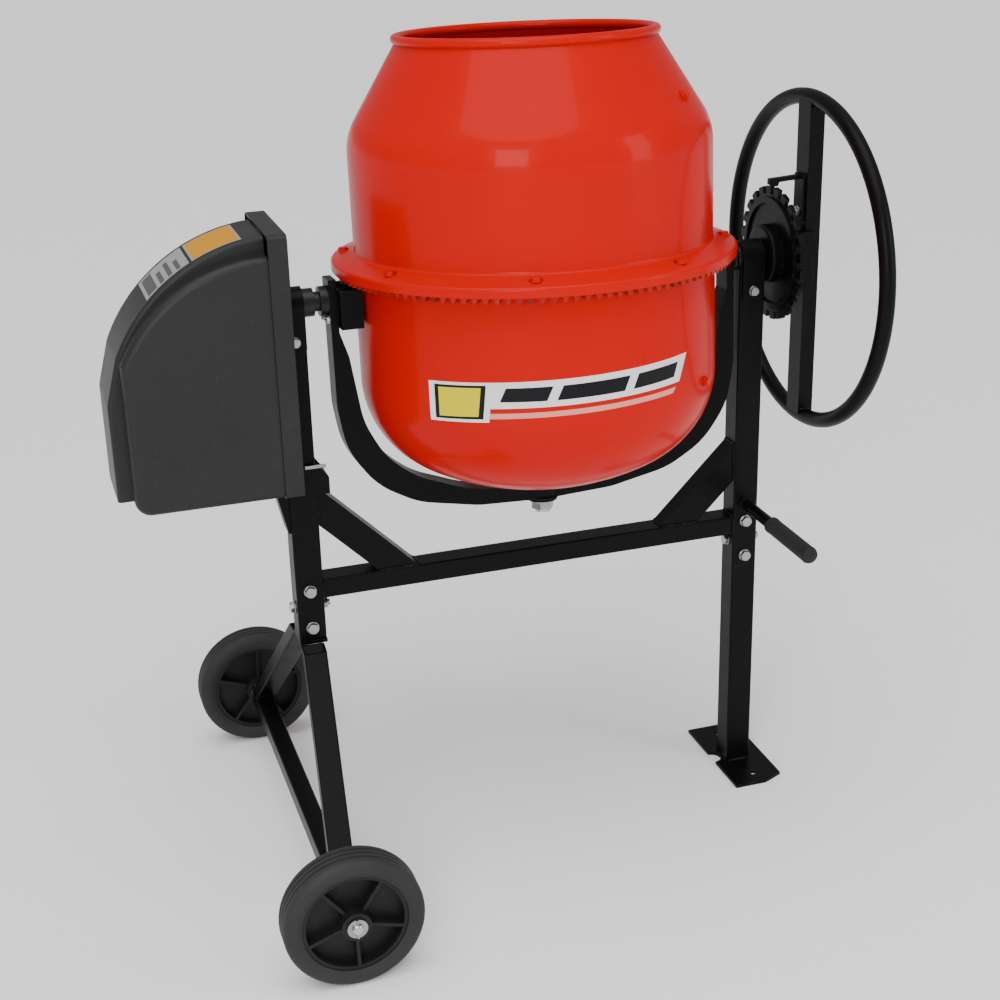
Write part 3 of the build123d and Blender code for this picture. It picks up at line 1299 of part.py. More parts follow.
crown_gear.part.label = "crown_gear"
export_step(crown_gear.part, "parts/crown_gear.step")

# ---- drum spindle, its nut, and the bolts of belt and blades ---------------------------------
with BuildPart() as drum_spindle:
    disc(drum_level(FLOOR_UNDER_H), 44, -5)
    disc(drum_level(FLOOR_UNDER_H - 5), SPINDLE_BUSH_R, -2.4)
    disc(drum_level(FLOOR_UNDER_H - 5), SPINDLE_R, -54)
    disc(drum_level(FLOOR_UNDER_H), 10, 14)
drum_spindle.part.label = "drum_spindle"
export_step(drum_spindle.part, "parts/drum_spindle.step")

with BuildPart() as spindle_nuts:
    disc(drum_level(BOSS_LOW_H - 0.3), 20, -2.5)
    disc(drum_level(BOSS_LOW_H - 0.3), SPINDLE_R, -2.5, Mode.SUBTRACT)
    with BuildSketch(drum_level(BOSS_LOW_H - 2.8)) as lower_nut:
        RegularPolygon(radius=18, side_count=6)
        Circle(SPINDLE_R, mode=Mode.SUBTRACT)
    extrude(lower_nut.sketch, amount=-12)
    with BuildSketch(drum_level(FLOOR_TOP_H)) as upper_nut:
        RegularPolygon(radius=18, side_count=6)
        Circle(10, mode=Mode.SUBTRACT)
    extrude(upper_nut.sketch, amount=9)
spindle_nuts.part.label = "spindle_nuts"
export_step(spindle_nuts.part, "parts/spindle_nuts.step")

with BuildPart() as drum_bolts:
    for i in range(BELT_BOLT_COUNT):
        azimuth = -108 + i * 360 / BELT_BOLT_COUNT
        seat = Plane(TILTED * Location((0, 0, 0), (0, 0, azimuth)) * Location((BELT_BOLT_R, 0, BELT_SPOT_H)))
        hex_bolt(seat, M8, BELT_SPOT_H - GEAR_ROOT_H - TOOTH_SINK, nut=False)
    for azimuth in BLADE_AZIMUTHS:
        low_bolt = drum_wall(azimuth, BOWL_R + 0.4, LOW_BOLT_H, 0)
        hex_bolt(low_bolt, M8, BOWL_R + 0.4 - LOW_TAB_R + TAB_T)
        high_bolt = drum_wall(azimuth, HIGH_BOLT_R, HIGH_BOLT_H, CONE_PITCH)
        hex_bolt(high_bolt.offset(0.4), M8, 0.4 + TAB_GAP + TAB_T)
drum_bolts.part.label = "drum_bolts"
export_step(drum_bolts.part, "parts/drum_bolts.step")


# ---- mixing blades ---------------------------------------------------------------------------
def high_tab_r(h):
    """Radius of the middle of the blade's upper tab at height h."""
    return CONE_R - (h - SHOULDER_H) * CONE_SLOPE - (TAB_GAP + TAB_T / 2) / math.cos(math.radians(CONE_PITCH))


def mixing_blade(azimuth):
    """Paddle standing off the wall, with a bent tab bolted to the bowl and one bolted to the cone."""
    with BuildPart() as blade:
        with BuildSketch(drum_radial(azimuth).offset(TAB_W / 2 - TAB_T / 2)):
            with BuildLine():
                Polyline(
                    (LOW_TAB_R - 2, -156),
                    (LOW_TAB_R - 2, -124),
                    (250, -100),
                    (250, 190),
                    (high_tab_r(259), 259),
                    (high_tab_r(285), 285),
                    (178, 250),
                    (196, 120),
                    (180, -40),
                    (214, -176),
                    close=True,
                )
            make_face()
        extrude(amount=TAB_T / 2, both=True)
        low_seat = drum_wall(azimuth, LOW_TAB_R, LOW_BOLT_H, 0)
        high_seat = drum_wall(azimuth, HIGH_BOLT_R, HIGH_BOLT_H, CONE_PITCH).offset(-TAB_GAP)
        for seat in (low_seat, high_seat):
            with BuildSketch(seat) as tab:
                Rectangle(34, TAB_W)
                Circle(M8 + HOLE_PLAY, mode=Mode.SUBTRACT)
            extrude(tab.sketch, amount=-TAB_T)
    return blade


for number, azimuth in enumerate(BLADE_AZIMUTHS, start=1):
    blade = mixing_blade(azimuth)
    blade.part.label = f"mixing_blade_{number}"
    export_step(blade.part, f"parts/mixing_blade_{number}.step")

# ---- fasteners of the frame, yoke and cover --------------------------------------------------
with BuildPart() as frame_bolts:
    for plane in LEFT_POST_BOLTS + RIGHT_POST_BOLTS:
        hex_bolt(plane, M10, POST)
    for plane in CAP_BOLTS:
        hex_bolt(plane, M8, POST + 2 * STRAP)
    disc(Plane(origin=(DRUM_X + LEFT_POST_X + 4, -POST / 2 - 6, CLAMP_Z[1] + 3.2), z_dir=(1, 0, 0)), 3, 32)
    for plane in MOUNT_SCREWS:
        disc(plane, MOUNT_SCREW_R + 3, 3)
        disc(plane, MOUNT_SCREW_R, -COVER_WALL)
frame_bolts.part.label = "frame_bolts"
export_step(frame_bolts.part, "parts/frame_bolts.step")

with BuildPart() as yoke_bolts:
    for plane in GUARD_BOLTS:
        hex_bolt(plane, GUARD_BOLT_R, COVER_WALL + ARM_TOP_THICK)
    for z in SLOT_BOLT_Z:
        slot_bolt = Plane(origin=(DRUM_X + GUIDE_X[0], 0, z), z_dir=(-1, 0, 0))
        hex_bolt(slot_bolt, M8, BAR_BACK_X + BAR_WALL + 0.3 - GUIDE_X[0])
yoke_bolts.part.label = "yoke_bolts"
export_step(yoke_bolts.part, "parts/yoke_bolts.step")
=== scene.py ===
import json
import math
import random

import bmesh
import bpy
from mathutils import Matrix, Vector


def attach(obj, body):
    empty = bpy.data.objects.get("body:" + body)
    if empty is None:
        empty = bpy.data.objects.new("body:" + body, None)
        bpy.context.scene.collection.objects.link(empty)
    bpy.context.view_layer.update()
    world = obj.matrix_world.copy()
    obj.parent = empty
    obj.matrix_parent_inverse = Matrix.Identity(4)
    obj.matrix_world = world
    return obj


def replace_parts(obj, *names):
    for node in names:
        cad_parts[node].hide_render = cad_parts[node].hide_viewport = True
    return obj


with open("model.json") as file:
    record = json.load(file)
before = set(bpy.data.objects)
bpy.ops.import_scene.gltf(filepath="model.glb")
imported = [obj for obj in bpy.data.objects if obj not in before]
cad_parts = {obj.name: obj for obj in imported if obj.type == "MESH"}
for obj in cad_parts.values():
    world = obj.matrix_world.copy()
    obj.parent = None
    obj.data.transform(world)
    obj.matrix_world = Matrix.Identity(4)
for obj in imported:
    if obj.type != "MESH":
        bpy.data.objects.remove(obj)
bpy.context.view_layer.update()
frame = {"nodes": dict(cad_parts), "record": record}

# ---- places that the CAD fixes --------------------------------------------------------------------
MM = 0.001
DRUM_X = 93.25 * MM
TRUNNION_Z = 904 * MM
LEAN = math.radians(3.4)
TILTED = Matrix.Translation((DRUM_X, 0, TRUNNION_Z)) @ Matrix.Rotation(-LEAN, 4, "X")


def at(x, y, z):
    """A point given in mm, with x counted from the drum's axis."""
    return Vector((DRUM_X + x * MM, y * MM, z * MM))


def drum_point(azimuth, r, h):
    """A point on the leaning drum: azimuth in degrees, radius and height in mm."""
    a = math.radians(azimuth)
    return TILTED @ Vector((r * math.cos(a) * MM, r * math.sin(a) * MM, h * MM))


# ---- camera ---------------------------------------------------------------------------------------
def aim_camera():
    """Puts the camera at the photograph's viewing angle."""
    yaw, pitch, roll = (math.radians(a) for a in (17.379, 22.025, 1.508))
    forward = Vector((math.sin(yaw) * math.cos(pitch), math.cos(yaw) * math.cos(pitch), -math.sin(pitch)))
    right = Vector((math.cos(yaw), -math.sin(yaw), 0))
    up = right.cross(forward)
    turned_right = math.cos(roll) * right - math.sin(roll) * up
    turned_up = math.sin(roll) * right + math.cos(roll) * up
    data = bpy.data.cameras.new("camera")
    data.sensor_width = 36
    data.lens = 61.77
    data.clip_end = 100
    camera = bpy.data.objects.new("camera", data)
    bpy.context.scene.collection.objects.link(camera)
    rotation = Matrix((turned_right, turned_up, -forward)).transposed().to_4x4()
    camera.matrix_world = Matrix.Translation((DRUM_X - 0.8162, -2.4044, 1.5695)) @ rotation
    bpy.context.scene.camera = camera


aim_camera()


# ---- node helpers -----------------------------------------------------------------------------------
class Shader:
    """A material with its Principled shader, and short ways to add nodes to it."""

    def __init__(self, name, rough=0.5, metallic=0.0, **sockets):
        self.material = bpy.data.materials.new(name)
        self.material.use_nodes = True
        self.nodes = self.material.node_tree.nodes
        self.links = self.material.node_tree.links
        self.bsdf = self.nodes["Principled BSDF"]
        self.bsdf.inputs["Roughness"].default_value = rough
        self.bsdf.inputs["Metallic"].default_value = metallic
        for socket, value in sockets.items():
            self.bsdf.inputs[socket.replace("_", " ")].default_value = value
        self.place = self.node("ShaderNodeTexCoord").outputs["Object"]

    def node(self, kind, **inputs):
        new = self.nodes.new(kind)
        for socket, value in inputs.items():
            self.put(value, new.inputs[socket.replace("_", " ")])
        return new

    def put(self, value, socket):
        if isinstance(value, bpy.types.NodeSocket):
            self.links.new(value, socket)
        else:
            socket.default_value = value

    def noise(self, scale, detail=4.0, roughness=0.55, stretch=None):
        place = self.place
        if stretch:
            mapping = self.node("ShaderNodeMapping", Vector=place, Scale=stretch)
            place = mapping.outputs[0]
        made = self.node("ShaderNodeTexNoise", Vector=place, Scale=scale, Detail=detail, Roughness=roughness)
        return made.outputs["Fac"]

    def ramp(self, fac, low, high):
        """Steepens a 0 to 1 value between low and high."""
        made = self.node("ShaderNodeMapRange", Value=fac)
        made.inputs["From Min"].default_value = low
        made.inputs["From Max"].default_value = high
        return made.outputs[0]

    def math(self, operation, a, b):
        made = self.nodes.new("ShaderNodeMath")
        made.operation = operation
        self.put(a, made.inputs[0])
        self.put(b, made.inputs[1])
        return made.outputs[0]

    def blend(self, fac, a, b):
        """Mixes two colours."""
        made = self.nodes.new("ShaderNodeMix")
        made.data_type = "RGBA"
        colours = [s for s in made.inputs if s.type == "RGBA"]
        self.put(fac, made.inputs[0])
        for value, socket in ((a, colours[0]), (b, colours[1])):
            self.put(value if isinstance(value, bpy.types.NodeSocket) else (*value, 1), socket)
        return [s for s in made.outputs if s.type == "RGBA"][0]

    def spread(self, fac, low, high):
        """Maps a 0 to 1 value to low..high."""
        made = self.node("ShaderNodeMapRange", Value=fac)
        made.inputs["To Min"].default_value = low
        made.inputs["To Max"].default_value = high
        return made.outputs[0]

    def edges(self, radius):
        """1 on edges that are worn, 0 on flats."""
        bevel = self.nodes.new("ShaderNodeBevel")
        bevel.samples = 4
        bevel.inputs["Radius"].default_value = radius
        geometry = self.nodes.new("ShaderNodeNewGeometry")
        dot = self.nodes.new("ShaderNodeVectorMath")
        dot.operation = "DOT_PRODUCT"
        self.put(bevel.outputs[0], dot.inputs[0])
        self.put(geometry.outputs["Normal"], dot.inputs[1])
        return self.ramp(dot.outputs["Value"], 0.995, 0.9)

    def colour(self, value):
        self.put(value if isinstance(value, bpy.types.NodeSocket) else (*value, 1), self.bsdf.inputs["Base Color"])

    def rough(self, value):
        self.put(value, self.bsdf.inputs["Roughness"])

    def bump(self, height, strength, distance, soften=None):
        """Bump from a height value; soften rounds the mesh's sharp edges by that radius in the shading."""
        made = self.nodes.new("ShaderNodeBump")
        made.inputs["Strength"].default_value = strength
        made.inputs["Distance"].default_value = distance
        self.put(height, made.inputs["Height"])
        if soften:
            bevel = self.nodes.new("ShaderNodeBevel")
            bevel.samples = 4
            bevel.inputs["Radius"].default_value = soften
            self.put(bevel.outputs[0], made.inputs["Normal"])
        self.put(made.outputs[0], self.bsdf.inputs["Normal"])


# ---- materials -----------------------------------------------------------------------------------------
def black_paint():
    m = Shader("black_paint", Specular_IOR_Level=0.08, Coat_Weight=0.02, Coat_Roughness=0.12)
    cloud = m.noise(9, 5)
    scuffs = m.ramp(m.noise(150, 6, 0.7), 0.60, 0.72)
    worn = m.math("MULTIPLY", m.edges(1.2 * MM), m.ramp(m.noise(60, 4), 0.45, 0.62))
    base = m.blend(cloud, (0.002, 0.002, 0.0022), (0.0042, 0.0042, 0.0045))
    base = m.blend(m.math("MULTIPLY", scuffs, 0.25), base, (0.03, 0.0295, 0.0285))
    m.colour(m.blend(m.math("MULTIPLY", worn, 0.55), base, (0.07, 0.068, 0.065)))
    m.rough(m.spread(m.noise(30, 4), 0.3, 0.46))
    m.bump(m.noise(700, 2, 0.5), 0.12, 0.0004, 0.8 * MM)
    return m.material


def red_paint():
    m = Shader("red_paint", Specular_IOR_Level=0.05, Coat_Weight=0.08, Coat_Roughness=0.06)
    cloud = m.noise(3.5, 4)
    base = m.blend(cloud, (0.50, 0.0010, 0.0002), (0.57, 0.0016, 0.0004))
    dust = m.ramp(m.noise(22, 6, 0.65), 0.58, 0.8)
    base = m.blend(m.math("MULTIPLY", dust, 0.03), base, (0.45, 0.08, 0.05))
    worn = m.math("MULTIPLY", m.edges(1.0 * MM), m.ramp(m.noise(70, 4), 0.5, 0.66))
    m.colour(m.blend(m.math("MULTIPLY", worn, 0.5), base, (0.30, 0.05, 0.035)))
    m.rough(m.spread(m.noise(16, 4), 0.24, 0.36))
    m.bump(m.noise(420, 2, 0.5), 0.10, 0.0005, 0.8 * MM)
    return m.material


def gear_red():
    m = Shader("gear_red", Specular_IOR_Level=0.2)
    base = m.blend(m.noise(25, 5), (0.32, 0.012, 0.006), (0.50, 0.02, 0.009))
    grease = m.ramp(m.noise(45, 5), 0.5, 0.68)
    m.colour(m.blend(m.math("MULTIPLY", grease, 0.6), base, (0.05, 0.01, 0.008)))
    m.rough(m.spread(m.noise(60, 4), 0.32, 0.55))
    m.bump(m.noise(500, 4, 0.6), 0.25, 0.0006, 0.5 * MM)
    return m.material


def metal(name, dark, light, rough, scratch=(1, 1, 1), grain=300):
    m = Shader(name, metallic=1.0)
    m.colour(m.blend(m.noise(40, 5), dark, light))
    m.rough(m.spread(m.noise(grain, 4, 0.6, scratch), rough[0], rough[1]))
    m.bump(m.noise(grain * 2, 3, 0.6, scratch), 0.15, 0.0003, 0.4 * MM)
    return m.material


def plastic(name, dark, light, rough, grain, strength, soften=0.8 * MM):
    m = Shader(name, Specular_IOR_Level=0.22)
    base = m.blend(m.noise(7, 5), dark, light)
    dust = m.ramp(m.noise(70, 6, 0.7), 0.57, 0.78)
    m.colour(m.blend(m.math("MULTIPLY", dust, 0.10), base, (0.12, 0.115, 0.11)))
    m.rough(m.spread(m.noise(18, 4), rough[0], rough[1]))
    m.bump(m.noise(grain, 4, 0.6), strength, 0.0005, soften)
    return m.material


def plain_print(name, colour, rough=0.35):
    """Printed film: nearly even, with slight mottling."""
    m = Shader(name, Specular_IOR_Level=0.1)
    m.colour(m.blend(m.noise(60, 4), [c * 0.9 for c in colour], colour))
    m.rough(m.spread(m.noise(90, 3), rough, rough + 0.1))
    return m.material


MATERIALS = {
    "frame_black": black_paint(),
    "drum_red": red_paint(),
    "gear_red": gear_red(),
    "zinc": metal("zinc", (0.26, 0.26, 0.25), (0.46, 0.455, 0.43), (0.22, 0.42)),
    "bright_steel": metal("bright_steel", (0.42, 0.42, 0.42), (0.58, 0.58, 0.58), (0.2, 0.36), (1, 14, 14), 120),
    "iron": metal("iron", (0.018, 0.018, 0.018), (0.045, 0.044, 0.043), (0.32, 0.5)),
    "bronze": metal("bronze", (0.45, 0.27, 0.10), (0.60, 0.38, 0.16), (0.25, 0.4)),
    "motor_alu": metal("motor_alu", (0.40, 0.41, 0.42), (0.56, 0.57, 0.58), (0.35, 0.5)),
    "tyre_rubber": plastic("tyre_rubber", (0.016, 0.016, 0.016), (0.036, 0.036, 0.035), (0.55, 0.75), 500, 0.3),
    "rim_plastic": plastic("rim_plastic", (0.007, 0.007, 0.0075), (0.012, 0.012, 0.0125), (0.42, 0.55), 500, 0.2),
    "grip_rubber": plastic("grip_rubber", (0.010, 0.010, 0.010), (0.018, 0.018, 0.018), (0.5, 0.68), 600, 0.3),
    "belt_rubber": plastic("belt_rubber", (0.012, 0.012, 0.012), (0.02, 0.02, 0.02), (0.55, 0.7), 500, 0.3),
    "cover_plastic": plastic("cover_plastic", (0.013, 0.0135, 0.014), (0.020, 0.0205, 0.021), (0.4, 0.5), 900, 0.25, 1.5 * MM),
    "switch_plastic": plastic("switch_plastic", (0.012, 0.012, 0.012), (0.02, 0.02, 0.02), (0.4, 0.5), 900, 0.2),
    "start_green": plastic("start_green", (0.01, 0.22, 0.05), (0.015, 0.28, 0.06), (0.22, 0.3), 300, 0.05),
    "stop_red": plastic("stop_red", (0.5, 0.012, 0.008), (0.6, 0.018, 0.01), (0.22, 0.3), 300, 0.05),
}
for entry in frame["record"]["subparts"]:
    node = frame["nodes"][entry["node"]]
    finish = MATERIALS[entry["material_slot"]]
    if not node.material_slots:
        node.data.materials.append(finish)
    for held in node.material_slots:
        held.material = finish


# ---- mesh helpers --------------------------------------------------------------------------------------
def piece(name, mesh, finish, body, smooth=True):
    """Puts a finished bmesh into the scene as a piece of the object."""
    data = bpy.data.meshes.new(name)
    bmesh.ops.recalc_face_normals(mesh, faces=mesh.faces)
    mesh.to_mesh(data)
    mesh.free()
    if smooth:
        data.shade_smooth()
        data.set_sharp_from_angle(angle=math.radians(35))
    data.materials.append(finish)
    made = bpy.data.objects.new(name, data)
    bpy.context.scene.collection.objects.link(made)
    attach(made, body)
    return made


def rings(mesh, sections, closed_ring=True, cap=True, loop=False):
    """Skins a list of point rings, in order."""
    rows = [[mesh.verts.new(p) for p in ring] for ring in sections]
    pairs = list(zip(rows, rows[1:]))
    if loop:
        pairs.append((rows[-1], rows[0]))
    for low, high in pairs:
        count = len(low)
        for i in range(count if closed_ring else count - 1):
            j = (i + 1) % count
            mesh.faces.new((low[i], low[j], high[j], high[i]))
    if cap and not loop:
        mesh.faces.new(list(reversed(rows[0])))
        mesh.faces.new(rows[-1])
    return rows


def axes_for(direction):
    """Two unit vectors square to a direction."""
    side = direction.orthogonal().normalized()
    return side, direction.cross(side).normalized()


def weld(mesh, points, width, seed):
    """A ropey weld bead along points, lying in the corner between two faces."""
    rng = random.Random(seed)
    legs = [(b - a).length for a, b in zip(points, points[1:])]
    total = sum(legs)
    closed = len(points) > 2 and (points[0] - points[-1]).length < width
    count = max(6, int(total / (1.6 * MM)))
    sections = []
    for i in range(count if closed else count + 1):
        left = total * i / count
        leg = 0
        while leg < len(legs) - 1 and left > legs[leg]:
            left -= legs[leg]
            leg += 1
        direction = (points[leg + 1] - points[leg]).normalized()
        side = direction.cross(Vector((0.31, 0.27, 0.91))).normalized()
        other = direction.cross(side)
        swell = 0.78 + 0.22 * abs(math.sin(i * math.pi / 3)) + rng.uniform(-0.05, 0.05)
        if not closed and i in (0, count):
            swell = 0.35
        centre = points[leg] + direction * left + side * rng.uniform(-0.04, 0.04) * width
        r = width * swell
        turns = [k * math.tau / 8 for k in range(8)]
        sections.append([centre + (side * math.cos(a) + other * math.sin(a)) * r for a in turns])
    rings(mesh, sections, loop=closed)


def seams(name, lines, body, slot="frame_black", width=2.6):
    """One piece made of several weld beads, each a line between two points or round a circle."""
    mesh = bmesh.new()
    for number, points in enumerate(lines):
        weld(mesh, points, width * MM, number + len(name))
    return piece(name, mesh, MATERIALS[slot], body)


def line(a, b):
    """Two ends of a straight bead, in mm from the drum's axis."""
    return [at(*a), at(*b)]


def circle(centre, out, radius, start=0, sweep=360, steps=40):
    """Points of a round bead, in mm, about a centre."""
    side, other = axes_for(out)
    angles = [math.radians(start + sweep * k / steps) for k in range(steps + 1)]
    return [centre + (side * math.cos(a) + other * math.sin(a)) * radius * MM for a in angles]


def hexagon_r(angle, flats):
    return flats / math.cos(angle % (math.pi / 3) - math.pi / 6)


def turned(mesh, place, out, profile, sides=36):
    """A solid turned about a line: rows of height, radius and, for a hexagon, half its width, in mm."""
    side, other = axes_for(out)
    sections = []
    for height, radius, flats in profile:
        ring = []
        for k in range(sides):
            a = k * math.tau / sides
            r = min(radius, hexagon_r(a, flats)) if flats else radius
            ring.append(place + (out * height + (side * math.cos(a) + other * math.sin(a)) * r) * MM)
        sections.append(ring)
    rings(mesh, sections)


def hexagon(mesh, place, out, low, high, shank):
    """Hexagon from low to high with its corners chamfered at the high end."""
    flats, corner, tall = shank * 1.6, shank * 1.85, abs(high - low)
    step = math.copysign(1, high - low)
    rows = [(low, corner, flats)]
    for back, radius in ((0.28, 1.0), (0.14, 0.955), (0.04, 0.9), (0.0, 0.86)):
        rows.append((high - step * back * tall, corner * radius, flats))
    turned(mesh, place, out, rows)


def bolt(mesh, place, out, shank, reach, nut=True):
    """Hex bolt with a washer and chamfered head, and a nut with the thread's end beyond it."""
    washer, head = 1.6, shank * 1.3
    turned(mesh, place, out, [(0, shank * 1.94, 0), (0.25, shank * 2, 0), (1.3, shank * 2, 0), (washer, shank * 1.92, 0)])
    hexagon(mesh, place, out, washer, washer + head, shank)
    if not nut:
        turned(mesh, place, out, [(0, shank, 0), (-reach, shank, 0)])
        return
    hexagon(mesh, place, out, -reach, -reach - shank * 1.6, shank)
    rows, pitch = [(0, shank, 0)], shank * 0.3
    h, low = -reach, -reach - shank * 2.4 + 0.6
    while h - pitch > low:
        rows += [(h, shank, 0), (h - pitch * 0.35, shank, 0), (h - pitch * 0.6, shank * 0.88, 0), (h - pitch * 0.75, shank * 0.88, 0)]
        h -= pitch
    rows += [(low, shank, 0), (low - 0.6, shank * 0.82, 0)]
    turned(mesh, place, out, rows)


POST = 43
LEFT_POST_X, RIGHT_POST_X = -381, 355
M8, M10 = 4, 5
FRONT, LEFT, RIGHT = Vector((0, -1, 0)), Vector((-1, 0, 0)), Vector((1, 0, 0))
UP_DRUM = (TILTED.to_3x3() @ Vector((0, 0, 1))).normalized()


def frame_bolt_set():
    mesh = bmesh.new()
    for x, fronts, side_z in ((LEFT_POST_X, (453, 391), 421), (RIGHT_POST_X, (460, 398), 422)):
        for z in fronts:
            bolt(mesh, at(x, -POST / 2, z), FRONT, M10, POST)
        bolt(mesh, at(x - POST / 2, 0, side_z), LEFT, M10, POST)
    for x in (LEFT_POST_X + 4, RIGHT_POST_X):
        bolt(mesh, at(x, -POST / 2 - 4, 853), FRONT, M8, POST + 8)
    turned(mesh, at(LEFT_POST_X + 4, -POST / 2 - 6, 658.2), RIGHT, [(0, 2.5, 0), (0.5, 3, 0), (31.5, 3, 0), (32, 2.5, 0)])
    for y in (-54, 54):
        for z in (697, 793):
            screw = at(LEFT_POST_X - POST / 2 - 0.5, y, z)
            turned(mesh, screw, RIGHT, [(-3, 2.5, 0), (0, 2.5, 0), (0, 5.5, 0), (1.4, 5.3, 0), (2.5, 4.2, 0), (3, 2.5, 0), (2.6, 2.2, 2.2)])
    return piece("frame_bolt_set", mesh, MATERIALS["zinc"], "frame")


def yoke_bolt_set():
    mesh = bmesh.new()
    for y in (-13, 13):
        bolt(mesh, TILTED @ Vector((-307 * MM, y * MM, -27 * MM)), RIGHT, 3, 15)
    for z in (880, 854):
        bolt(mesh, at(430, 0, z), LEFT, M8, 17.8)
    return piece("yoke_bolt_set", mesh, MATERIALS["zinc"], "yoke")


def tooth_bolt_piece():
    mesh = bmesh.new()
    bolt(mesh, at(439.5, 0, 968), LEFT, M8, 8)
    return piece("tooth_bolt_detailed", mesh, MATERIALS["zinc"], "handwheel")


def drum_bolt_set():
    mesh = bmesh.new()
    for i in range(8):
        bolt(mesh, drum_point(-108 + i * 45, 287, 53), UP_DRUM, M8, BELT_BOLT_REACH, nut=False)
    for azimuth in (-44, 136):
        radial = (drum_point(azimuth, 1000, 0) - drum_point(azimuth, 0, 0)).normalized()
        bolt(mesh, drum_point(azimuth, 272.4, -140), radial, M8, 9.9)
        slope = (270 - 189) / (358 - 227)
        out = (radial + UP_DRUM * slope).normalized()
        seat = drum_point(azimuth, 270 - (272 - 227) * slope, 272)
        bolt(mesh, seat + out * 0.4 * MM, out, M8, 8.9)
    return piece("drum_bolt_set", mesh, MATERIALS["drum_red"], "drum")


def ribbed_grip():
    """Rubber grip with a flange, finger ribs and a closed round end."""
    mesh = bmesh.new()
    rows = [(240 - 112, 9.6, 0), (0, 9.6, 0), (0, 12.6, 0), (0.8, 13.8, 0), (5, 13.9, 0), (6.5, 12.4, 0)]
    for i in range(18):
        low = 8 + i * 6.2
        rows += [(low, 12.2, 0), (low + 0.9, 13.4, 0), (low + 3.6, 13.4, 0), (low + 4.5, 12.2, 0)]
    rows += [(120, 12.4, 0), (122, 13.6, 0), (128, 13.8, 0), (132, 12.6, 0), (133.6, 9.8, 0), (134, 6, 0)]
    turned(mesh, at(358, -112, 487), FRONT, rows, 48)
    return piece("ribbed_grip", mesh, MATERIALS["grip_rubber"], "frame")


GEAR_PITCH_R = 288
BELT_BOLT_REACH = 17
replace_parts(frame_bolt_set(), "frame_bolts")
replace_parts(yoke_bolt_set(), "yoke_bolts")
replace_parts(tooth_bolt_piece(), "tooth_bolt")
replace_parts(drum_bolt_set(), "drum_bolts")
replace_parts(ribbed_grip(), "handle_grip")

BEAM_TOP, BEAM_LOW, BEAM_FRONT = 469, 437, 20
beads = []
for face in (LEFT_POST_X + POST / 2, RIGHT_POST_X - POST / 2):
    beads.append(line((face, -BEAM_FRONT + 2, BEAM_TOP), (face, BEAM_FRONT - 2, BEAM_TOP)))
    beads.append(line((face, -BEAM_FRONT, BEAM_LOW + 2), (face, -BEAM_FRONT, BEAM_TOP - 2)))
    beads.append(line((face, BEAM_FRONT, BEAM_LOW + 2), (face, BEAM_FRONT, BEAM_TOP - 2)))
    beads.append(line((face, -BEAM_FRONT + 2, BEAM_LOW), (face, BEAM_FRONT - 2, BEAM_LOW)))
for face, low_x, step in ((LEFT_POST_X + POST / 2, -206, -1), (RIGHT_POST_X - POST / 2, 206, 1)):
    brace_top = BEAM_TOP + abs(face - low_x)
    for y in (-17, 17):
        beads.append(line((low_x, y, BEAM_TOP), (low_x + step * 63, y, BEAM_TOP)))
        beads.append(line((face, y, brace_top - 63), (face, y, brace_top)))
    beads.append(line((face, -15, brace_top), (face, 15, brace_top)))
    beads.append(line((low_x, -15, BEAM_TOP), (low_x, 15, BEAM_TOP)))
for side in (-1, 1):
    for y in (288.5, 323.5):
        beads.append(line((-435, side * y, 118.6), (-399, side * y, 118.6)))
beads += [
    line((335, -21.5, 5), (375, -21.5, 5)), line((335, 21.5, 5), (375, 21.5, 5)),
    line((376.5, -20, 5), (376.5, 20, 5)), line((333.5, -20, 5), (333.5, 20, 5)),
    circle(at(358, -POST / 2, 487), FRONT, 13.5),
]
seams("frame_welds", beads, "frame", width=3.0)
axis_left = TILTED @ Vector((-322 * MM, 0, 0))
seams("yoke_welds", [circle(TILTED @ Vector((322 * MM, 0, 0)), RIGHT, 22.5), circle(drum_point(0, 0, -346), UP_DRUM, 24.5)], "yoke")
RING_Z, RING_R = 886, 256.5
ring_joints = []
for step in (-1, 1):
    z = RING_Z + step * (RING_R - 12.5)
    ring_joints.append(line((446, -20, z), (468, -20, z)))
    ring_joints.append(line((446, 20, z), (468, 20, z)))
seams("handwheel_welds", ring_joints, "handwheel")
seams("drum_seams", [
    [drum_point(62, 272, -134 + k * 21) for k in range(9)],
    [drum_point(70, 270, 66 + k * 19.5) for k in range(9)],
], "drum", "drum_red", 1.5)


# ---- printed films: plain shapes in place of the maker's prints ---------------------------------------------
def film(name, surface, quad, lift, finish, body, steps=(40, 8)):
    """A thin film between four corners given in a surface's own two coordinates, in mm or degrees."""
    mesh = bmesh.new()
    top_left, top_right, low_right, low_left = (Vector(c) for c in quad)
    layers = []
    for depth in (lift, lift - 0.25):
        rows = []
        for j in range(steps[1] + 1):
            v = j / steps[1]
            left, right = top_left.lerp(low_left, v), top_right.lerp(low_right, v)
            spots = [left.lerp(right, i / steps[0]) for i in range(steps[0] + 1)]
            rows.append([mesh.verts.new(surface(s.x, s.y, depth)) for s in spots])
        layers.append(rows)
    top, bottom = layers
    for rows in layers:
        for low, high in zip(rows, rows[1:]):
            for i in range(steps[0]):
                mesh.faces.new((low[i], low[i + 1], high[i + 1], high[i]))
    border_top = top[0] + [r[-1] for r in top[1:]] + top[-1][-2::-1] + [r[0] for r in top[-2:0:-1]]
    border_low = bottom[0] + [r[-1] for r in bottom[1:]] + bottom[-1][-2::-1] + [r[0] for r in bottom[-2:0:-1]]
    for i in range(len(border_top)):
        j = (i + 1) % len(border_top)
        mesh.faces.new((border_top[i], border_top[j], border_low[j], border_low[i]))
    return piece(name, mesh, finish, body)


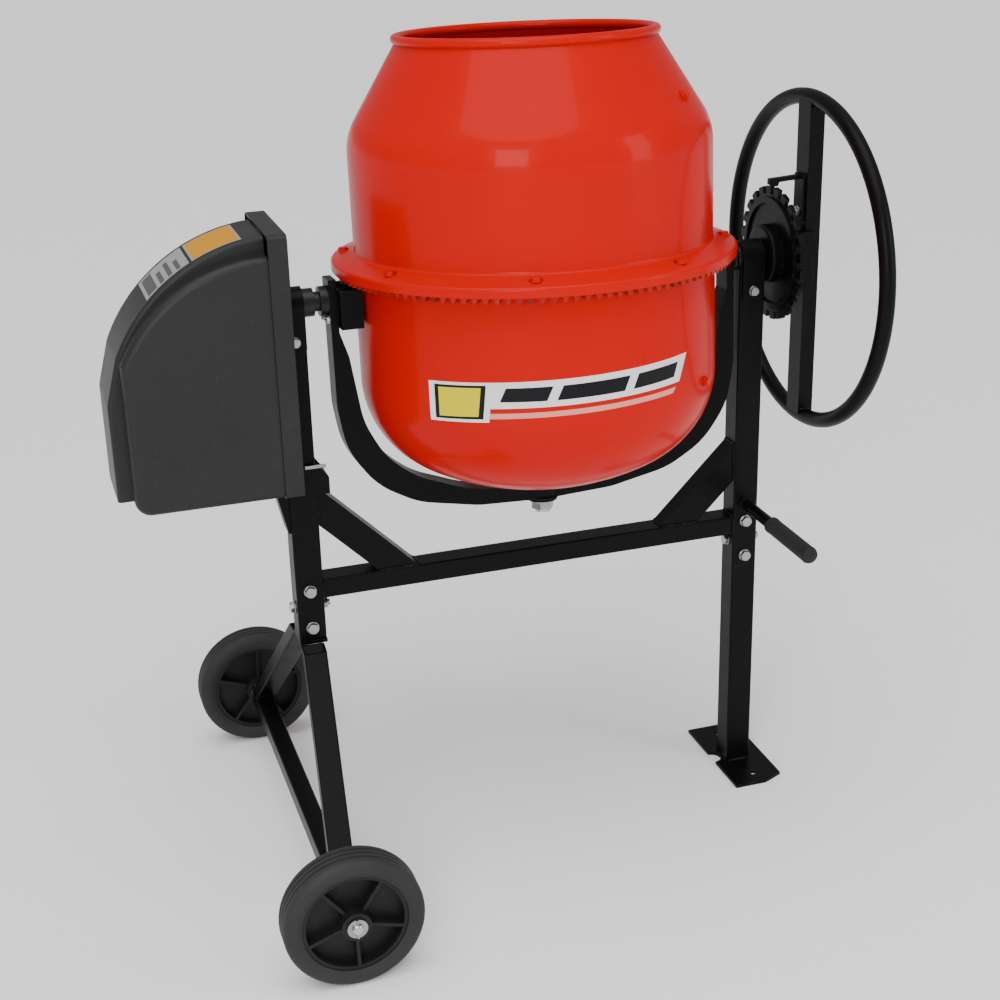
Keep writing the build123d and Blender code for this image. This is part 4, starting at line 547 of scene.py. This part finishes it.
KNUCKLE_R = 150
BOWL_R = 272
BOWL_WALL_LOW_H = -136


def bowl_surface(azimuth, h, lift):
    """The bowl's outer wall and knuckle, lifted outward."""
    centre_r = BOWL_R - KNUCKLE_R
    below = max(0.0, BOWL_WALL_LOW_H - h)
    angle = math.asin(below / KNUCKLE_R)
    reach = KNUCKLE_R + lift
    return drum_point(azimuth, centre_r + reach * math.cos(angle), h if below == 0 else BOWL_WALL_LOW_H - reach * math.sin(angle))


WHITE_FILM = plain_print("white_film", (0.82, 0.82, 0.82))
DARK_FILM = plain_print("dark_film", (0.010, 0.011, 0.013))
YELLOW_FILM = plain_print("yellow_film", (0.72, 0.60, 0.0))
PINK_FILM = plain_print("pale_red_film", (0.85, 0.30, 0.26))
AMBER_FILM = plain_print("amber_film", (0.62, 0.27, 0.0))
GREY_FILM = plain_print("grey_film", (0.30, 0.31, 0.31), 0.45)
LINE_FILM = plain_print("line_film", (0.09, 0.09, 0.095), 0.45)

BOWL_PRINTS = (
    ("bowl_print_ground", ((-143, -94), (-56.6, -82), (-60.5, -121), (-139, -131)), 0.35, WHITE_FILM),
    ("bowl_print_badge_rim", ((-143, -94), (-122, -91), (-123.5, -149), (-143, -152)), 0.45, WHITE_FILM),
    ("bowl_print_badge_edge", ((-141, -98), (-124, -95.5), (-125.2, -144.5), (-141, -147.5)), 0.6, DARK_FILM),
    ("bowl_print_badge", ((-139.6, -101.5), (-125.6, -99.2), (-126.7, -141), (-139.6, -143.7)), 0.75, YELLOW_FILM),
    ("bowl_print_bar_a", ((-118, -99), (-104, -97.5), (-106, -118), (-120, -119)), 0.5, DARK_FILM),
    ("bowl_print_bar_b", ((-101, -97.2), (-80, -94.4), (-82, -115.3), (-103, -117.8)), 0.5, DARK_FILM),
    ("bowl_print_bar_c", ((-77, -94), (-61, -91.2), (-63, -112), (-79, -115)), 0.5, DARK_FILM),
    ("bowl_print_line", ((-123, -136), (-62, -127.5), (-63.5, -135.5), (-124, -144)), 0.35, PINK_FILM),
)
for name, quad, lift, finish in BOWL_PRINTS:
    film(name, bowl_surface, quad, lift, finish, "drum")


def circle_through(a, b, c):
    """Centre and radius of the circle through three points (x, z)."""
    a, b, c = Vector(a), Vector(b), Vector(c)
    ab, ac = b - a, c - a
    cross = 2 * (ab.x * ac.y - ab.y * ac.x)
    ux = (ac.y * ab.length_squared - ab.y * ac.length_squared) / cross
    uz = (ab.x * ac.length_squared - ac.x * ab.length_squared) / cross
    return a + Vector((ux, uz)), Vector((ux, uz)).length


BAND_CENTRE, BAND_R = circle_through((-418, 1022), (-552, 973), (-638, 866))


def band_surface(x, y, lift):
    """The crown of the hood's raised band, lifted outward."""
    lean = math.asin((x - BAND_CENTRE.x) / BAND_R)
    reach = BAND_R + lift
    return at(BAND_CENTRE.x + reach * math.sin(lean), y, BAND_CENTRE.y + reach * math.cos(lean))


def label_rows(x_low, x_high, y_low, y_high):
    """Corners of a label on the band, its long way along the crown."""
    return ((x_low, y_high), (x_high, y_high), (x_high, y_low), (x_low, y_low))


BAND_LABELS = (
    ("amber_label_ground", label_rows(-518, -447, -50, 46), 0.35, GREY_FILM),
    ("amber_label", label_rows(-515.5, -449.5, -47.5, 43.5), 0.5, AMBER_FILM),
    ("grey_label", label_rows(-585, -522, -50, 46), 0.35, GREY_FILM),
    ("grey_label_line_a", label_rows(-581, -568, -44, 38), 0.5, LINE_FILM),
    ("grey_label_line_b", label_rows(-563, -557, -44, 12), 0.5, LINE_FILM),
    ("grey_label_line_c", label_rows(-551, -545, -44, 26), 0.5, LINE_FILM),
    ("grey_label_line_d", label_rows(-539, -533, -44, 5), 0.5, LINE_FILM),
)
for name, quad, lift, finish in BAND_LABELS:
    film(name, band_surface, quad, lift, finish, "frame", (16, 6))


# ---- floor and light --------------------------------------------------------------------------------------
SKY_LOW = 0.42
SKY_HIGH = 0.5
SUN_STRENGTH = 2.5
SUN_SPREAD = 60
SUN_TURN = (math.radians(14), math.radians(-10), 0)


def make_stage():
    mesh = bmesh.new()
    bmesh.ops.create_grid(mesh, x_segments=1, y_segments=1, size=30)
    data = bpy.data.meshes.new("floor")
    mesh.to_mesh(data)
    mesh.free()
    floor = bpy.data.objects.new("floor", data)
    bpy.context.scene.collection.objects.link(floor)
    m = Shader("pale_floor", rough=0.6)
    m.colour(m.blend(m.noise(2), (0.93, 0.93, 0.93), (0.95, 0.95, 0.95)))
    data.materials.append(m.material)
    world = bpy.data.worlds.new("studio")
    bpy.context.scene.world = world
    world.use_nodes = True
    nodes, links = world.node_tree.nodes, world.node_tree.links
    height = nodes.new("ShaderNodeSeparateXYZ")
    links.new(nodes.new("ShaderNodeTexCoord").outputs["Generated"], height.inputs[0])
    sky = nodes.new("ShaderNodeMapRange")
    sky.inputs["To Min"].default_value, sky.inputs["To Max"].default_value = SKY_LOW, SKY_HIGH
    links.new(height.outputs["Z"], sky.inputs["Value"])
    links.new(sky.outputs[0], nodes["Background"].inputs["Strength"])
    nodes["Background"].inputs["Color"].default_value = (1, 1, 1, 1)
    light = bpy.data.lights.new("overhead", "SUN")
    light.energy = SUN_STRENGTH
    light.angle = math.radians(SUN_SPREAD)
    lamp = bpy.data.objects.new("overhead", light)
    bpy.context.scene.collection.objects.link(lamp)
    lamp.rotation_euler = SUN_TURN


def softbox(name, place, target, size, power):
    light = bpy.data.lights.new(name, "AREA")
    light.shape = "RECTANGLE"
    light.size, light.size_y = size
    light.energy = power
    lamp = bpy.data.objects.new(name, light)
    bpy.context.scene.collection.objects.link(lamp)
    lamp.location = place
    lamp.rotation_euler = (Vector(target) - Vector(place)).to_track_quat("-Z", "Y").to_euler()


make_stage()
softbox("key", (-1.6, -3.0, 2.0), (0, 0, 0.8), (1.2, 1.6), 55)
softbox("fill", (2.4, -1.9, 1.7), (0, 0, 0.8), (0.8, 1.8), 22)
